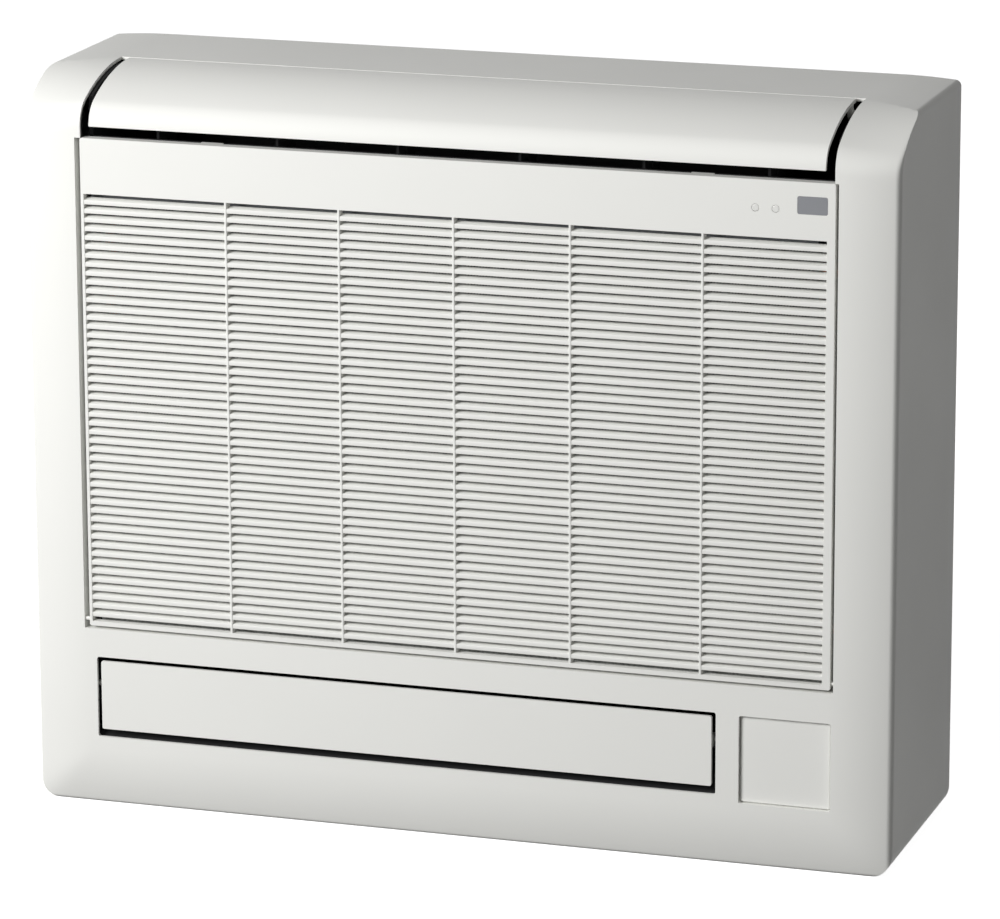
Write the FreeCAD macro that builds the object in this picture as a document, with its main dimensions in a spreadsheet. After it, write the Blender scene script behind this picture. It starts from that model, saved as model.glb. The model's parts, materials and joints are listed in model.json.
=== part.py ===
import FreeCAD, Part
import math
import os
import Sketcher

# Floor console air conditioner: front towards -Y, +Z up, origin under the middle of its foot print.
# Driving sizes in millimetres, angles in degrees, counts and shares as plain numbers.
SIZES = {
    # Casing
    "casing_width": 714.0,
    "casing_depth": 200.0,
    "casing_height": 600.0,
    "casing_wall": 2.5,
    "brow_depth": 92.0,
    "brow_drop": 39.5,
    "brow_front_radius": 22.0,
    "cap_drop": 58.0,
    "cap_front_radius": 40.0,
    "corner_width": 50.0,
    "corner_setback": 12.0,
    "corner_edge_radius": 6.0,
    "shoulder_drop": 7.0,
    "shoulder_edge_radius": 5.0,
    "foot_radius": 18.0,
    "toe_height": 48.0,
    "toe_setback": 7.0,
    "jamb_depth": 14.0,
    "overrun": 5.0,
    # Inlet panel with its slatted grille
    "panel_overlap": 1.0,
    "panel_bottom": 151.0,
    "panel_gap": 2.5,
    "panel_skin": 2.5,
    "panel_rim_depth": 9.0,
    "panel_rim_wall": 2.0,
    "grille_margin": 8.0,
    "grille_bottom_margin": 3.5,
    "band_height": 43.0,
    "slat_count": 49,
    "slat_gap": 2.9,
    "slat_depth": 7.0,
    "slat_slope": 1.6,
    "rib_width": 3.0,
    "panel_pin_radius": 1.5,
    "panel_pin_setback": 2.8,
    "panel_pin_height": 5.0,
    "pin_clearance": 0.05,
    # Display in the band
    "window_width": 24.0,
    "window_height": 14.0,
    "window_from_end": 18.0,
    "window_drop": 18.0,
    "window_thickness": 1.2,
    "lamp_radius": 3.0,
    "lamp_count": 2,
    "lamp_from_end": 63.0,
    "lamp_pitch": 16.0,
    "lamp_drop": 22.0,
    "display_board_width": 78.0,
    "display_board_height": 26.0,
    "board_thickness": 1.6,
    # Upper flap
    "flap_set_in": 7.0,
    "flap_end_gap": 7.5,
    "flap_lip_gap": 9.5,
    "flap_thickness": 3.0,
    "flap_seam_gap": 1.8,
    "flap_edge_radius": 2.0,
    "flap_pivot_setback": 80.0,
    "flap_pivot_drop": 10.0,
    "flap_pin_radius": 2.5,
    "flap_ear_thickness": 3.0,
    "flap_ear_radius": 5.0,
    # Lower flap and its outlet
    "low_outlet_left_set_in": 4.5,
    "low_outlet_right_set_in": 90.5,
    "low_outlet_bottom": 58.0,
    "low_outlet_height": 67.0,
    "low_flap_side_gap": 3.5,
    "low_flap_top_gap": 3.5,
    "low_flap_bottom_gap": 6.5,
    "low_flap_thickness": 3.0,
    "low_flap_pivot_setback": 12.0,
    "low_flap_pivot_height": 100.0,
    # Service cover
    "service_set_in": 72.0,
    "service_width": 74.0,
    "service_bottom": 52.5,
    "service_height": 71.5,
    "service_recess": 3.0,
    "service_gap": 0.8,
    "service_thickness": 2.5,
    "service_ledge": 6.0,
    # Chassis and base
    "chassis_thickness": 4.0,
    "chassis_margin": 0.3,
    "cheek_thickness": 3.0,
    "cheek_set_in": 2.0,
    "cheek_front_setback": 22.0,
    "cheek_top_drop": 1.5,
    "base_thickness": 3.0,
    "base_rim_height": 14.0,
    "wall_screw_set_in": 25.0,
    "wall_screw_drop": 90.0,
    "wall_screw_bottom": 130.0,
    "wall_screw_radius": 3.0,
    "pipe_hole_radius": 32.5,
    "pipe_hole_set_in": 43.0,
    "pipe_hole_z": 70.0,
    "pipe_pass_depth": 90.0,
    "pipe_gap": 1.0,
    "lug_margin": 7.0,
    "lug_height": 28.0,
    # Heat exchanger and drain
    "coil_set_in": 20.0,
    "coil_gap": 0.3,
    "coil_depth": 30.0,
    "coil_bottom": 168.0,
    "coil_top_drop": 53.0,
    "fin_count": 58,
    "fin_thickness": 0.6,
    "sheet_thickness": 1.5,
    "tube_radius": 3.5,
    "tube_rows": 12,
    "tube_end_margin": 22.0,
    "drain_floor": 146.0,
    "drain_wall": 2.0,
    "drain_height": 16.0,
    "drain_margin": 3.0,
    "spout_radius": 8.0,
    "spout_length": 26.0,
    "spout_set_in": 43.0,
    # Air filters
    "filter_thickness": 4.0,
    "filter_bottom": 166.0,
    "filter_top_drop": 49.0,
    "filter_right_set_in": 15.0,
    "filter_left_overlap": 1.0,
    "filter_middle_gap": 1.0,
    "filter_bar": 4.0,
    "filter_columns": 4,
    "filter_rows": 5,
    # Fans
    "upper_fan_radius": 45.0,
    "fan_rear_room": 70.0,
    "upper_fan_drop": 138.0,
    "lower_fan_radius": 40.0,
    "lower_fan_z": 140.0,
    "fan_end_gap": 13.0,
    "upper_drive_room": 77.0,
    "lower_drive_room": 99.0,
    "fan_disc_thickness": 2.0,
    "fan_disc_count": 5,
    "fan_blade_count": 28,
    "fan_blade_depth": 11.0,
    "fan_blade_thickness": 1.2,
    "fan_blade_bend": 14.0,
    "fan_blade_inset": 1.5,
    "fan_blade_lean": 4.0,
    "shaft_radius": 4.0,
    "shaft_grip": 12.0,
    "bush_radius": 9.0,
    "bush_length": 10.0,
    "motor_radius": 34.0,
    "motor_length": 62.0,
    "motor_gap": 8.0,
    "motor_boss_radius": 12.0,
    "motor_boss_length": 5.0,
    "motor_edge": 4.0,
    "clamp_width": 16.0,
    "clamp_thickness": 2.0,
    "foot_height": 24.0,
    "flange_height": 60.0,
    "clamp_screw_pitch": 44.0,
    # Air ducts
    "scroll_gap": 6.0,
    "duct_wall": 2.0,
    "tongue_gap": 5.0,
    "throat_lip_setback": 16.0,
    "throat_lip_drop": 3.0,
    "tongue_rise": 26.0,
    "tongue_lean": 5.0,
    "tongue_fold": 20.0,
    "roof_drop": 15.0,
    "roof_setback": 8.0,
    "roof_radius": 40.0,
    "low_scroll_rise": 50.0,
    "duct_front_setback": 4.0,
    "chin_drop": 1.0,
    "low_roof_gap": 2.0,
    "low_tongue_rise": 12.0,
    "duct_end_gap": 6.0,
    # Upright vanes
    "vane_count": 6,
    "vane_thickness": 2.0,
    "vane_length": 40.0,
    "vane_pivot_setback": 42.0,
    "vane_clearance": 3.0,
    "vane_top_drop": 28.0,
    "vane_pin_radius": 2.0,
    "link_pin_radius": 1.5,
    "link_pin_height": 4.0,
    "link_arm": 16.0,
    "link_width": 6.0,
    "link_thickness": 2.0,
    "link_gap": 0.4,
    # Flap motors
    "step_motor_radius": 11.0,
    "step_motor_length": 15.0,
    "step_motor_offset": 7.5,
    "step_lug_width": 30.0,
    "step_lug_height": 7.0,
    "step_lug_thickness": 1.2,
    "step_lug_trim": 4.0,
    # Controls
    "control_width": 40.0,
    "control_front_gap": 3.7,
    "control_top_drop": 150.0,
    "control_bottom": 210.0,
    "control_wall": 2.0,
    "control_rear_gap": 20.0,
    "control_stud": 6.0,
    "component_size": 18.0,
    "component_height": 14.0,
    "component_count": 4,
    "component_pitch": 40.0,
    "terminal_height": 50.0,
    "terminal_depth": 24.0,
    "terminal_width": 18.0,
    "terminal_poles": 4,
    "terminal_groove": 1.5,
    "button_radius": 3.0,
    "button_travel": 1.5,
    "button_proud": 3.0,
    "button_height": 300.0,
    "holder_size": 12.0,
    "holder_depth": 9.0,
    "holder_wall": 1.5,
    # Refrigerant pipes
    "gas_pipe_radius": 6.0,
    "liquid_pipe_radius": 4.0,
    "pipe_bend_radius": 16.0,
    "pipe_set_out": 25.0,
    "pipe_lane": 22.0,
    "flare_nut_radius": 11.0,
    "flare_nut_length": 20.0,
    "pipe_end_z": 60.0,
    "sensor_radius": 3.0,
    "sensor_length": 30.0,
    # Fasteners and catches
    "screw_head_radius": 4.0,
    "screw_head_height": 2.4,
    "screw_shank_radius": 2.0,
    "catch_width": 18.0,
    "catch_height": 10.0,
    "catch_depth": 4.0,
}

# Places of the grille's upright ribs as shares of the grille's width, from its left end
RIB_SHARES = (0.19, 0.347, 0.504, 0.662, 0.839)

# Places of the panel's two catches as shares of the panel's half width
CATCH_SHARES = (-0.65, 0.65)

# Places of a clamp's two screws as shares of their pitch
SCREW_SHARES = (-0.5, 0.5)

doc = FreeCAD.newDocument("floor_console")
sheet = doc.addObject("Spreadsheet::Sheet", "dim")
for row, (alias, cell_value) in enumerate(SIZES.items(), start=1):
    sheet.set(f"A{row}", alias)
    sheet.set(f"B{row}", str(cell_value))
    sheet.setAlias(f"B{row}", alias)
doc.recompute()


class Size:
    """A length that carries its number and the sheet formula that gives it."""

    def __init__(self, value, text):
        self.value = value
        self.text = text

    def __add__(self, other):
        return Size(self.value + number(other), f"({self.text} + {formula(other)})")

    def __sub__(self, other):
        return Size(self.value - number(other), f"({self.text} - {formula(other)})")

    def __mul__(self, other):
        return Size(self.value * number(other), f"({self.text} * {formula(other)})")

    def __truediv__(self, other):
        return Size(self.value / number(other), f"({self.text} / {formula(other)})")

    def __radd__(self, other):
        return Size(number(other) + self.value, f"({formula(other)} + {self.text})")

    def __rsub__(self, other):
        return Size(number(other) - self.value, f"({formula(other)} - {self.text})")

    def __rmul__(self, other):
        return Size(number(other) * self.value, f"({formula(other)} * {self.text})")

    def __neg__(self):
        return Size(-self.value, f"(0 - {self.text})")


class Dimensions:
    """The sheet's sizes by name."""

    def __getattr__(self, alias):
        return Size(float(sheet.get(alias)), f"dim.{alias}")

    def count(self, alias):
        """A whole number of copies."""
        return int(round(float(sheet.get(alias))))


def number(size):
    """The plain value of a size or a number."""
    return size.value if isinstance(size, Size) else float(size)


def formula(size):
    """The sheet formula of a size or a number."""
    return size.text if isinstance(size, Size) else repr(float(size))


def root(size):
    """The square root of a size."""
    return Size(math.sqrt(size.value), f"sqrt({size.text})")


def bind(item, prop, size):
    """Ties a property to its formula in the sheet."""
    item.setExpression(prop, formula(size))


dim = Dimensions()
TURNS = {
    "X": FreeCAD.Rotation(FreeCAD.Vector(0, 1, 0), 90),
    "Y": FreeCAD.Rotation(FreeCAD.Vector(1, 0, 0), -90),
    "Z": FreeCAD.Rotation(),
}


def place(item, x, y, z, turn=None):
    """Puts an item at a bound point, turned if asked."""
    base = FreeCAD.Vector(number(x), number(y), number(z))
    item.Placement = FreeCAD.Placement(base, turn or FreeCAD.Rotation())
    for axis, size in zip("xyz", (x, y, z)):
        bind(item, f"Placement.Base.{axis}", size)


def block(name, xs, ys, zs):
    """A box from its lower and upper bounds on each axis."""
    item = doc.addObject("Part::Box", name)
    for prop, (low, high) in zip(("Length", "Width", "Height"), (xs, ys, zs)):
        bind(item, prop, high - low)
    place(item, xs[0], ys[0], zs[0])
    return item


def rod(name, axis, start, radius, length):
    """A cylinder that runs from its start along an axis."""
    item = doc.addObject("Part::Cylinder", name)
    bind(item, "Radius", radius)
    bind(item, "Height", length)
    place(item, *start, turn=TURNS[axis])
    return item


def fused(name, items):
    """One solid, or one group of solids, from several."""
    item = doc.addObject("Part::MultiFuse", name)
    item.Shapes = items
    item.Refine = True
    return item


def trimmed(name, base, tools):
    """A solid less the tools that cut it."""
    item = doc.addObject("Part::Cut", name)
    item.Base = base
    item.Tool = tools[0] if len(tools) == 1 else fused(f"{name}_cutter", tools)
    item.Refine = True
    return item


def shared(name, items):
    """The space that several solids have in common."""
    item = doc.addObject("Part::MultiCommon", name)
    item.Shapes = items
    item.Refine = True
    return item


def origin_part(body, role):
    """An origin plane or axis of a body."""
    return next(part for part in body.Origin.OriginFeatures if part.Role == role)


def new_sketch(body, name, plane, offset):
    """An empty sketch on a plane of its body, moved along the plane's normal."""
    sketch = body.newObject("Sketcher::SketchObject", name)
    sketch.AttachmentSupport = [(origin_part(body, f"{plane}_Plane"), "")]
    sketch.MapMode = "FlatFace"
    bind(sketch, "AttachmentOffset.Base.z", offset)
    return sketch


def arc_between(first, last, radius):
    """The short arc from first to last, round a centre on the left, or on the right if radius is negative."""
    chord = last - first
    left = FreeCAD.Vector(-chord.y, chord.x, 0).normalize()
    reach = math.sqrt(max(radius * radius - chord.Length ** 2 / 4, 0.0))
    centre = (first + last) * 0.5 + left * math.copysign(reach, radius)
    start, end = (first, last) if radius > 0 else (last, first)
    angles = [math.atan2(point.y - centre.y, point.x - centre.x) for point in (start, end)]
    circle = Part.Circle(centre, FreeCAD.Vector(0, 0, 1), abs(radius))
    return Part.ArcOfCircle(circle, *angles)


def tie(sketch, kind, size, *where):
    """A dimension of a sketch, tied to the sheet."""
    index = sketch.addConstraint(Sketcher.Constraint(kind, *where, number(size)))
    sketch.setExpression(f"Constraints[{index}]", formula(size))


def draw(sketch, outline):
    """A closed outline of points (across, up) or (across, up, radius of the arc to the next point)."""
    spots = [FreeCAD.Vector(number(point[0]), number(point[1]), 0) for point in outline]
    ends = []
    for index, point in enumerate(outline):
        first = spots[index]
        last = spots[(index + 1) % len(spots)]
        if len(point) == 3:
            edge = sketch.addGeometry(arc_between(first, last, number(point[2])), False)
            forward = number(point[2]) > 0
            ends.append((edge, 1, 2) if forward else (edge, 2, 1))
        else:
            edge = sketch.addGeometry(Part.LineSegment(first, last), False)
            ends.append((edge, 1, 2))
    for index, (edge, start, _) in enumerate(ends):
        before, _, finish = ends[index - 1]
        sketch.addConstraint(Sketcher.Constraint("Coincident", before, finish, edge, start))
    for (edge, start, _), point in zip(ends, outline):
        tie(sketch, "DistanceX", point[0], -1, 1, edge, start)
        tie(sketch, "DistanceY", point[1], -1, 1, edge, start)
        if len(point) == 3:
            radius = point[2] if number(point[2]) > 0 else -point[2]
            tie(sketch, "Radius", radius, edge)


def prism(name, plane, outline, start, end):
    """A body with an outline on a plane, drawn out from start to end along +X, +Y or +Z."""
    body = doc.addObject("PartDesign::Body", name)
    backward = plane == "XZ"
    sketch = new_sketch(body, f"{name}_outline", plane, -start if backward else start)
    draw(sketch, outline)
    pad = body.newObject("PartDesign::Pad", f"{name}_pad")
    pad.Profile = sketch
    pad.Reversed = backward
    bind(pad, "Length", end - start)
    body.Tip = pad
    return body


def turned(name, outline, centre):
    """A body turned about an axis along X, from an outline of points (along the axis, radius)."""
    body = doc.addObject("PartDesign::Body", name)
    sketch = new_sketch(body, f"{name}_outline", "XY", 0)
    draw(sketch, outline)
    turn = body.newObject("PartDesign::Revolution", f"{name}_turn")
    turn.Profile = sketch
    turn.ReferenceAxis = (origin_part(body, "X_Axis"), [""])
    turn.Angle = 360
    body.Tip = turn
    place(body, *centre)
    return body


def sweep_corner(along, drop, edge_radius, inset):
    """Radii and meeting point of the gentle arc and the tight arc that round one corner of the casing."""
    gentle = ((along - edge_radius) * (along - edge_radius) + drop * drop - edge_radius * edge_radius) \
        / (2 * (drop - edge_radius))
    reach = (gentle - inset) / (gentle - edge_radius)
    meet_along = (along - edge_radius) * reach
    meet_drop = gentle + (drop - gentle) * reach
    return gentle - inset, edge_radius - inset, meet_along, meet_drop


half_width = dim.casing_width / 2
front = -dim.casing_depth / 2
rear = dim.casing_depth / 2
top = dim.casing_height
wall = dim.casing_wall
brow_end = front + dim.brow_depth
shoulder = half_width - dim.corner_width
past = dim.overrun
panel_half = shoulder + dim.panel_overlap
panel_top = top - dim.brow_drop - dim.flap_lip_gap
flap_half = shoulder - dim.flap_set_in
cheek_in = shoulder - dim.cheek_set_in
cheek_out = cheek_in + dim.cheek_thickness
low_outlet_left = shoulder - dim.low_outlet_left_set_in
low_outlet_right = shoulder - dim.low_outlet_right_set_in
service_left = shoulder - dim.service_set_in
coil_half = cheek_in - dim.coil_set_in
coil_top = panel_top - dim.coil_top_drop
fan_y = rear - dim.fan_rear_room
fan_left = cheek_in - dim.fan_end_gap
upper_fan_z = top - dim.upper_fan_drop
vane_top = top - dim.vane_top_drop


BROW = (dim.brow_drop, dim.brow_front_radius)
CAP = (dim.cap_drop, dim.cap_front_radius)


def side_outline(inset, back, foot, brow):
    """The casing's side view, set in by a wall, with its flat back and foot where asked."""
    brow_drop, brow_radius = brow
    gentle, tight, meet_along, meet_drop = sweep_corner(dim.brow_depth, brow_drop, brow_radius, inset)
    toe = (dim.toe_height * dim.toe_height + dim.toe_setback * dim.toe_setback) / (2 * dim.toe_setback)
    drop = dim.toe_height - foot
    toe_y = front + toe - root((toe - inset) * (toe - inset) - drop * drop)
    return [
        (toe_y, foot),
        (back, foot),
        (back, top - inset),
        (brow_end, top - inset, gentle),
        (brow_end - meet_along, top - meet_drop, tight),
        (front + inset, top - brow_drop),
        (front + inset, dim.toe_height, toe - inset),
    ]


def plan_outline(inset, back):
    """The casing's plan, set in by a wall, with its flat back where asked."""
    gentle, tight, meet_along, meet_drop = sweep_corner(
        dim.corner_width, dim.corner_setback, dim.corner_edge_radius, inset)
    side = half_width - inset
    return [
        (-shoulder, front + inset),
        (shoulder, front + inset, gentle),
        (shoulder + meet_along, front + meet_drop, tight),
        (side, front + dim.corner_setback),
        (side, back),
        (-side, back),
        (-side, front + dim.corner_setback, tight),
        (-(shoulder + meet_along), front + meet_drop, gentle),
    ]


def front_outline(inset, foot):
    """The casing's front view, set in by a wall, with its foot where asked."""
    gentle, tight, meet_along, meet_drop = sweep_corner(
        dim.corner_width, dim.shoulder_drop, dim.shoulder_edge_radius, inset)
    side = half_width - inset
    corner = half_width - dim.foot_radius
    lip = corner - inset
    bend = dim.foot_radius - inset
    if number(inset) > 0:
        right_foot = [(lip, foot), (lip, inset), (corner, inset, bend)]
        left_foot = [(-corner, inset), (-lip, inset), (-lip, foot)]
    else:
        right_foot = [(corner, foot, bend)]
        left_foot = [(-corner, foot)]
    return [
        *right_foot,
        (side, dim.foot_radius),
        (side, top - dim.shoulder_drop, tight),
        (shoulder + meet_along, top - meet_drop, gentle),
        (shoulder, top - inset),
        (-shoulder, top - inset, gentle),
        (-(shoulder + meet_along), top - meet_drop, tight),
        (-side, top - dim.shoulder_drop),
        (-side, dim.foot_radius, bend),
        *left_foot,
    ]


def end_cap(name, root_x, end_x, root_outline, end_outline):
    """A body that runs along X from one side view to another."""
    body = doc.addObject("PartDesign::Body", name)
    sketches = []
    for spot, x, outline in (("root", root_x, root_outline), ("end", end_x, end_outline)):
        sketch = new_sketch(body, f"{name}_{spot}", "YZ", x)
        draw(sketch, outline)
        sketches.append(sketch)
    loft = body.newObject("PartDesign::AdditiveLoft", f"{name}_loft")
    loft.Profile = sketches[0]
    loft.Sections = [sketches[1]]
    loft.Ruled = True
    body.Tip = loft
    return body


def envelope(name, inset, back, foot):
    """The space that the casing's side view, with its rounder end caps, its plan and its front view share."""
    brow = side_outline(inset, back, foot, BROW)
    cap = side_outline(inset, back, foot, CAP)
    length = fused(f"{name}_length", [
        prism(f"{name}_middle", "YZ", brow, -shoulder, shoulder),
        end_cap(f"{name}_right_cap", shoulder, half_width, brow, cap),
        end_cap(f"{name}_left_cap", -shoulder, -half_width, brow, cap),
    ])
    return shared(name, [
        length,
        prism(f"{name}_plan", "XY", plan_outline(inset, back), foot, top),
        prism(f"{name}_front", "XZ", front_outline(inset, foot), front, back),
    ])


# Front casing: a shell open at the back and the foot, with outlets, the panel's bay and the service recess
bay_half = panel_half + dim.panel_gap
bay_bottom = dim.panel_bottom - dim.panel_gap
brow_half = flap_half + dim.flap_end_gap
low_outlet_top = dim.low_outlet_bottom + dim.low_outlet_height
service_right = service_left + dim.service_width
service_top = dim.service_bottom + dim.service_height
service_seat = front + dim.service_recess + dim.service_thickness

outer_form = envelope("casing_outer", 0 * wall, rear, 0 * wall)
inner_form = envelope("casing_inner", wall, rear + past, -past)
casing_shell = trimmed("casing_shell", outer_form, [inner_form])
jamb_back = front + dim.jamb_depth
jambs = [
    block(f"jamb_{side}", xs, (front + 3 * wall / 4, jamb_back), (bay_bottom - wall, panel_top))
    for side, xs in (("left", (-bay_half - wall, -bay_half)), ("right", (bay_half, bay_half + wall)))
]
sill = block("sill", (-bay_half, bay_half), (front + wall / 2, jamb_back), (bay_bottom - wall, bay_bottom))
service_box = block(
    "service_box", (service_left - wall, service_right + wall), (front + wall / 2, service_seat + wall),
    (dim.service_bottom - wall, service_top + wall))
casing_whole = fused("casing_whole", [casing_shell, *jambs, sill, service_box])
panel_pin_y = front + dim.panel_pin_setback
panel_pin_z = dim.panel_bottom + dim.panel_pin_height
casing_cuts = [
    block("bay_cut", (-bay_half, bay_half), (front - past, brow_end), (bay_bottom, panel_top)),
    block("brow_cut", (-brow_half, brow_half), (front - past, brow_end), (panel_top - past, top + past)),
    block("low_outlet_cut", (-low_outlet_left, low_outlet_right), (front - past, jamb_back),
          (dim.low_outlet_bottom, low_outlet_top)),
    block("service_recess_cut", (service_left, service_right), (front - past, service_seat),
          (dim.service_bottom, service_top)),
    block("service_window_cut", (service_left + dim.service_ledge, service_right - dim.service_ledge),
          (front - past, service_seat + wall + past),
          (dim.service_bottom + dim.service_ledge, service_top - dim.service_ledge)),
    rod("panel_pin_bore", "X", (-bay_half - wall - past, panel_pin_y, panel_pin_z),
        dim.panel_pin_radius + dim.pin_clearance, 2 * (bay_half + wall + past)),
]
front_casing = trimmed("front_casing", casing_whole, casing_cuts)

service_cover = block(
    "service_cover", (service_left + dim.service_gap, service_right - dim.service_gap),
    (front + dim.service_recess, service_seat),
    (dim.service_bottom + dim.service_gap, service_top - dim.service_gap))

# Inlet panel: band and rims, a slatted grille below the band, ribs across the slats and two hinge pins
skin_back = front + dim.panel_skin
rim_back = front + dim.panel_rim_depth
grille_half = panel_half - dim.grille_margin
grille_bottom = dim.panel_bottom + dim.grille_bottom_margin
grille_top = panel_top - dim.band_height
slat_back = front + dim.slat_depth
slat_pitch = (grille_top - grille_bottom) / dim.slat_count


def slatted_plate():
    """The grille's plate with sloping slots that leave the slats standing, and a pocket behind the band."""
    body = doc.addObject("PartDesign::Body", "slatted_plate")
    plate = new_sketch(body, "plate_outline", "XZ", -front)
    draw(plate, [
        (-panel_half, dim.panel_bottom),
        (panel_half, dim.panel_bottom),
        (panel_half, panel_top),
        (-panel_half, panel_top),
    ])
    pad = body.newObject("PartDesign::Pad", "plate_pad")
    pad.Profile = plate
    pad.Reversed = True
    bind(pad, "Length", dim.slat_depth)
    slot = new_sketch(body, "slot_outline", "YZ", -grille_half)
    low = grille_bottom + (slat_pitch - dim.slat_gap) / 2
    draw(slot, [
        (front - past, low - dim.slat_slope),
        (front, low - dim.slat_slope),
        (slat_back, low),
        (slat_back + past, low),
        (slat_back + past, low + dim.slat_gap),
        (slat_back, low + dim.slat_gap),
        (front, low + dim.slat_gap - dim.slat_slope),
        (front - past, low + dim.slat_gap - dim.slat_slope),
    ])
    doc.recompute()
    pocket = body.newObject("PartDesign::Pocket", "slot_pocket")
    pocket.Profile = slot
    pocket.Reversed = True
    bind(pocket, "Length", 2 * grille_half)
    rows = body.newObject("PartDesign::LinearPattern", "slot_rows")
    rows.Originals = [pocket]
    rows.Direction = (origin_part(body, "Z_Axis"), [""])
    bind(rows, "Length", slat_pitch * (dim.slat_count - 1))
    rows.Occurrences = dim.count("slat_count")
    body.Tip = rows
    return body


panel_plate = slatted_plate()
rim_wall = dim.panel_rim_wall
panel_rims = [
    block("panel_rim_left", (-panel_half, rim_wall - panel_half), (front, rim_back),
          (dim.panel_bottom, panel_top)),
    block("panel_rim_right", (panel_half - rim_wall, panel_half), (front, rim_back),
          (dim.panel_bottom, panel_top)),
    block("panel_rim_top", (-panel_half, panel_half), (front, rim_back), (panel_top - rim_wall, panel_top)),
]
panel_ribs = []
for index, share in enumerate(RIB_SHARES):
    middle = 2 * grille_half * share - grille_half
    panel_ribs.append(block(
        f"panel_rib_{index + 1}", (middle - dim.rib_width / 2, middle + dim.rib_width / 2), (front, rim_back),
        (dim.panel_bottom, grille_top)))
panel_pins = [
    rod("panel_pin_left", "X", (-bay_half - wall, panel_pin_y, panel_pin_z), dim.panel_pin_radius,
        dim.panel_gap + wall + rim_wall / 2),
    rod("panel_pin_right", "X", (panel_half - rim_wall / 2, panel_pin_y, panel_pin_z), dim.panel_pin_radius,
        dim.panel_gap + wall + rim_wall / 2),
]
band_hollow = block(
    "band_hollow", (rim_wall - panel_half, panel_half - rim_wall), (skin_back, rim_back + past),
    (grille_top + rim_wall, panel_top - rim_wall))
window_x = panel_half - dim.window_from_end
window_z = panel_top - dim.window_drop
lamp_z = panel_top - dim.lamp_drop
window_xs = (window_x - dim.window_width / 2, window_x + dim.window_width / 2)
window_zs = (window_z - dim.window_height / 2, window_z + dim.window_height / 2)
lamp_rows = range(dim.count("lamp_count"))
lamp_xs = [panel_half - dim.lamp_from_end + dim.lamp_pitch * row for row in lamp_rows]
window_cut = block("window_cut", window_xs, (front - past, front + dim.window_thickness), window_zs)
lamp_cuts = [
    rod(f"lamp_cut_{step + 1}", "Y", (x, front - past, lamp_z), dim.lamp_radius + dim.pin_clearance,
        past + skin_back - front + past)
    for step, x in enumerate(lamp_xs)
]
panel_solid = fused("panel_solid", [panel_plate, *panel_rims, *panel_ribs, *panel_pins])
inlet_panel = trimmed("inlet_panel", panel_solid, [band_hollow, window_cut, *lamp_cuts])
display_window = block("display_window", window_xs, (front, front + dim.window_thickness), window_zs)
lamp_lenses = fused("lamp_lenses", [
    rod(f"lamp_lens_{step + 1}", "Y", (x, front, lamp_z), dim.lamp_radius, dim.panel_skin)
    for step, x in enumerate(lamp_xs)
])
board_right = panel_half - rim_wall - dim.pin_clearance
display_board = block(
    "display_board", (board_right - dim.display_board_width, board_right),
    (skin_back, skin_back + dim.board_thickness),
    (window_z - dim.display_board_height / 2, window_z + dim.display_board_height / 2))
catch_xs = [share * panel_half for share in CATCH_SHARES]
panel_catches = fused("panel_catches", [
    block(f"panel_catch_{side}", (x - dim.catch_width / 2, x + dim.catch_width / 2),
          (rim_back, rim_back + dim.catch_depth), (panel_top - dim.catch_height, panel_top))
    for side, x in zip(("left", "right"), catch_xs)
])

# Upper flap: the brow between the end caps, with ears and pins at its pivots
lip_z = panel_top + dim.flap_lip_gap
flap_rear = brow_end - dim.flap_seam_gap
pivot_y = front + dim.flap_pivot_setback
pivot_z = top - dim.flap_pivot_drop


def flap_outline():
    """The flap's section: the brow's two arcs, the same set in by its thickness, and a rounded rear edge."""
    gentle, tight, meet_along, meet_drop = sweep_corner(
        dim.brow_depth, dim.brow_drop, dim.brow_front_radius, 0 * wall)
    inset = dim.flap_thickness
    in_gentle, in_tight, in_along, in_drop = sweep_corner(
        dim.brow_depth, dim.brow_drop, dim.brow_front_radius, inset)
    corner = dim.flap_edge_radius
    rear_dip = gentle - root(gentle * gentle - (dim.flap_seam_gap + corner) * (dim.flap_seam_gap + corner))
    under_dip = gentle - root(in_gentle * in_gentle - dim.flap_seam_gap * dim.flap_seam_gap)
    return [
        (front, lip_z),
        (front + inset, lip_z),
        (brow_end - in_along, top - in_drop, -in_gentle),
        (flap_rear, top - under_dip),
        (flap_rear, top - rear_dip - corner, corner),
        (flap_rear - corner, top - rear_dip, gentle),
        (brow_end - meet_along, top - meet_drop, tight),
    ]


def pivot_ears(name, ends, y, z, reach_y, reach_z):
    """Ears at a flap's two ends, from the pivot to the flap, each with its pin towards the end's bearing."""
    pieces = []
    for side, (end, sign, pin_end) in ends.items():
        inside = end - sign * dim.flap_ear_thickness
        xs = (inside, end) if sign > 0 else (end, inside)
        pieces.append(rod(f"{name}_eye_{side}", "X", (xs[0], y, z), dim.flap_ear_radius, xs[1] - xs[0]))
        pieces.append(block(f"{name}_ear_{side}", xs, reach_y, reach_z))
        pin = (end, pin_end) if sign > 0 else (pin_end, end)
        pieces.append(rod(f"{name}_pin_{side}", "X", (pin[0], y, z), dim.flap_pin_radius, pin[1] - pin[0]))
    return pieces


pin_stop = cheek_out - dim.pin_clearance
flap_plate = prism("flap_plate", "YZ", flap_outline(), -flap_half, flap_half)
upper_flap = fused("upper_flap", [flap_plate, *pivot_ears(
    "upper_flap", {"left": (-flap_half, -1, -pin_stop), "right": (flap_half, 1, pin_stop)}, pivot_y, pivot_z,
    (pivot_y - dim.flap_ear_radius / 2, pivot_y + dim.flap_ear_radius / 2),
    (pivot_z, top - dim.flap_thickness))])

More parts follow.
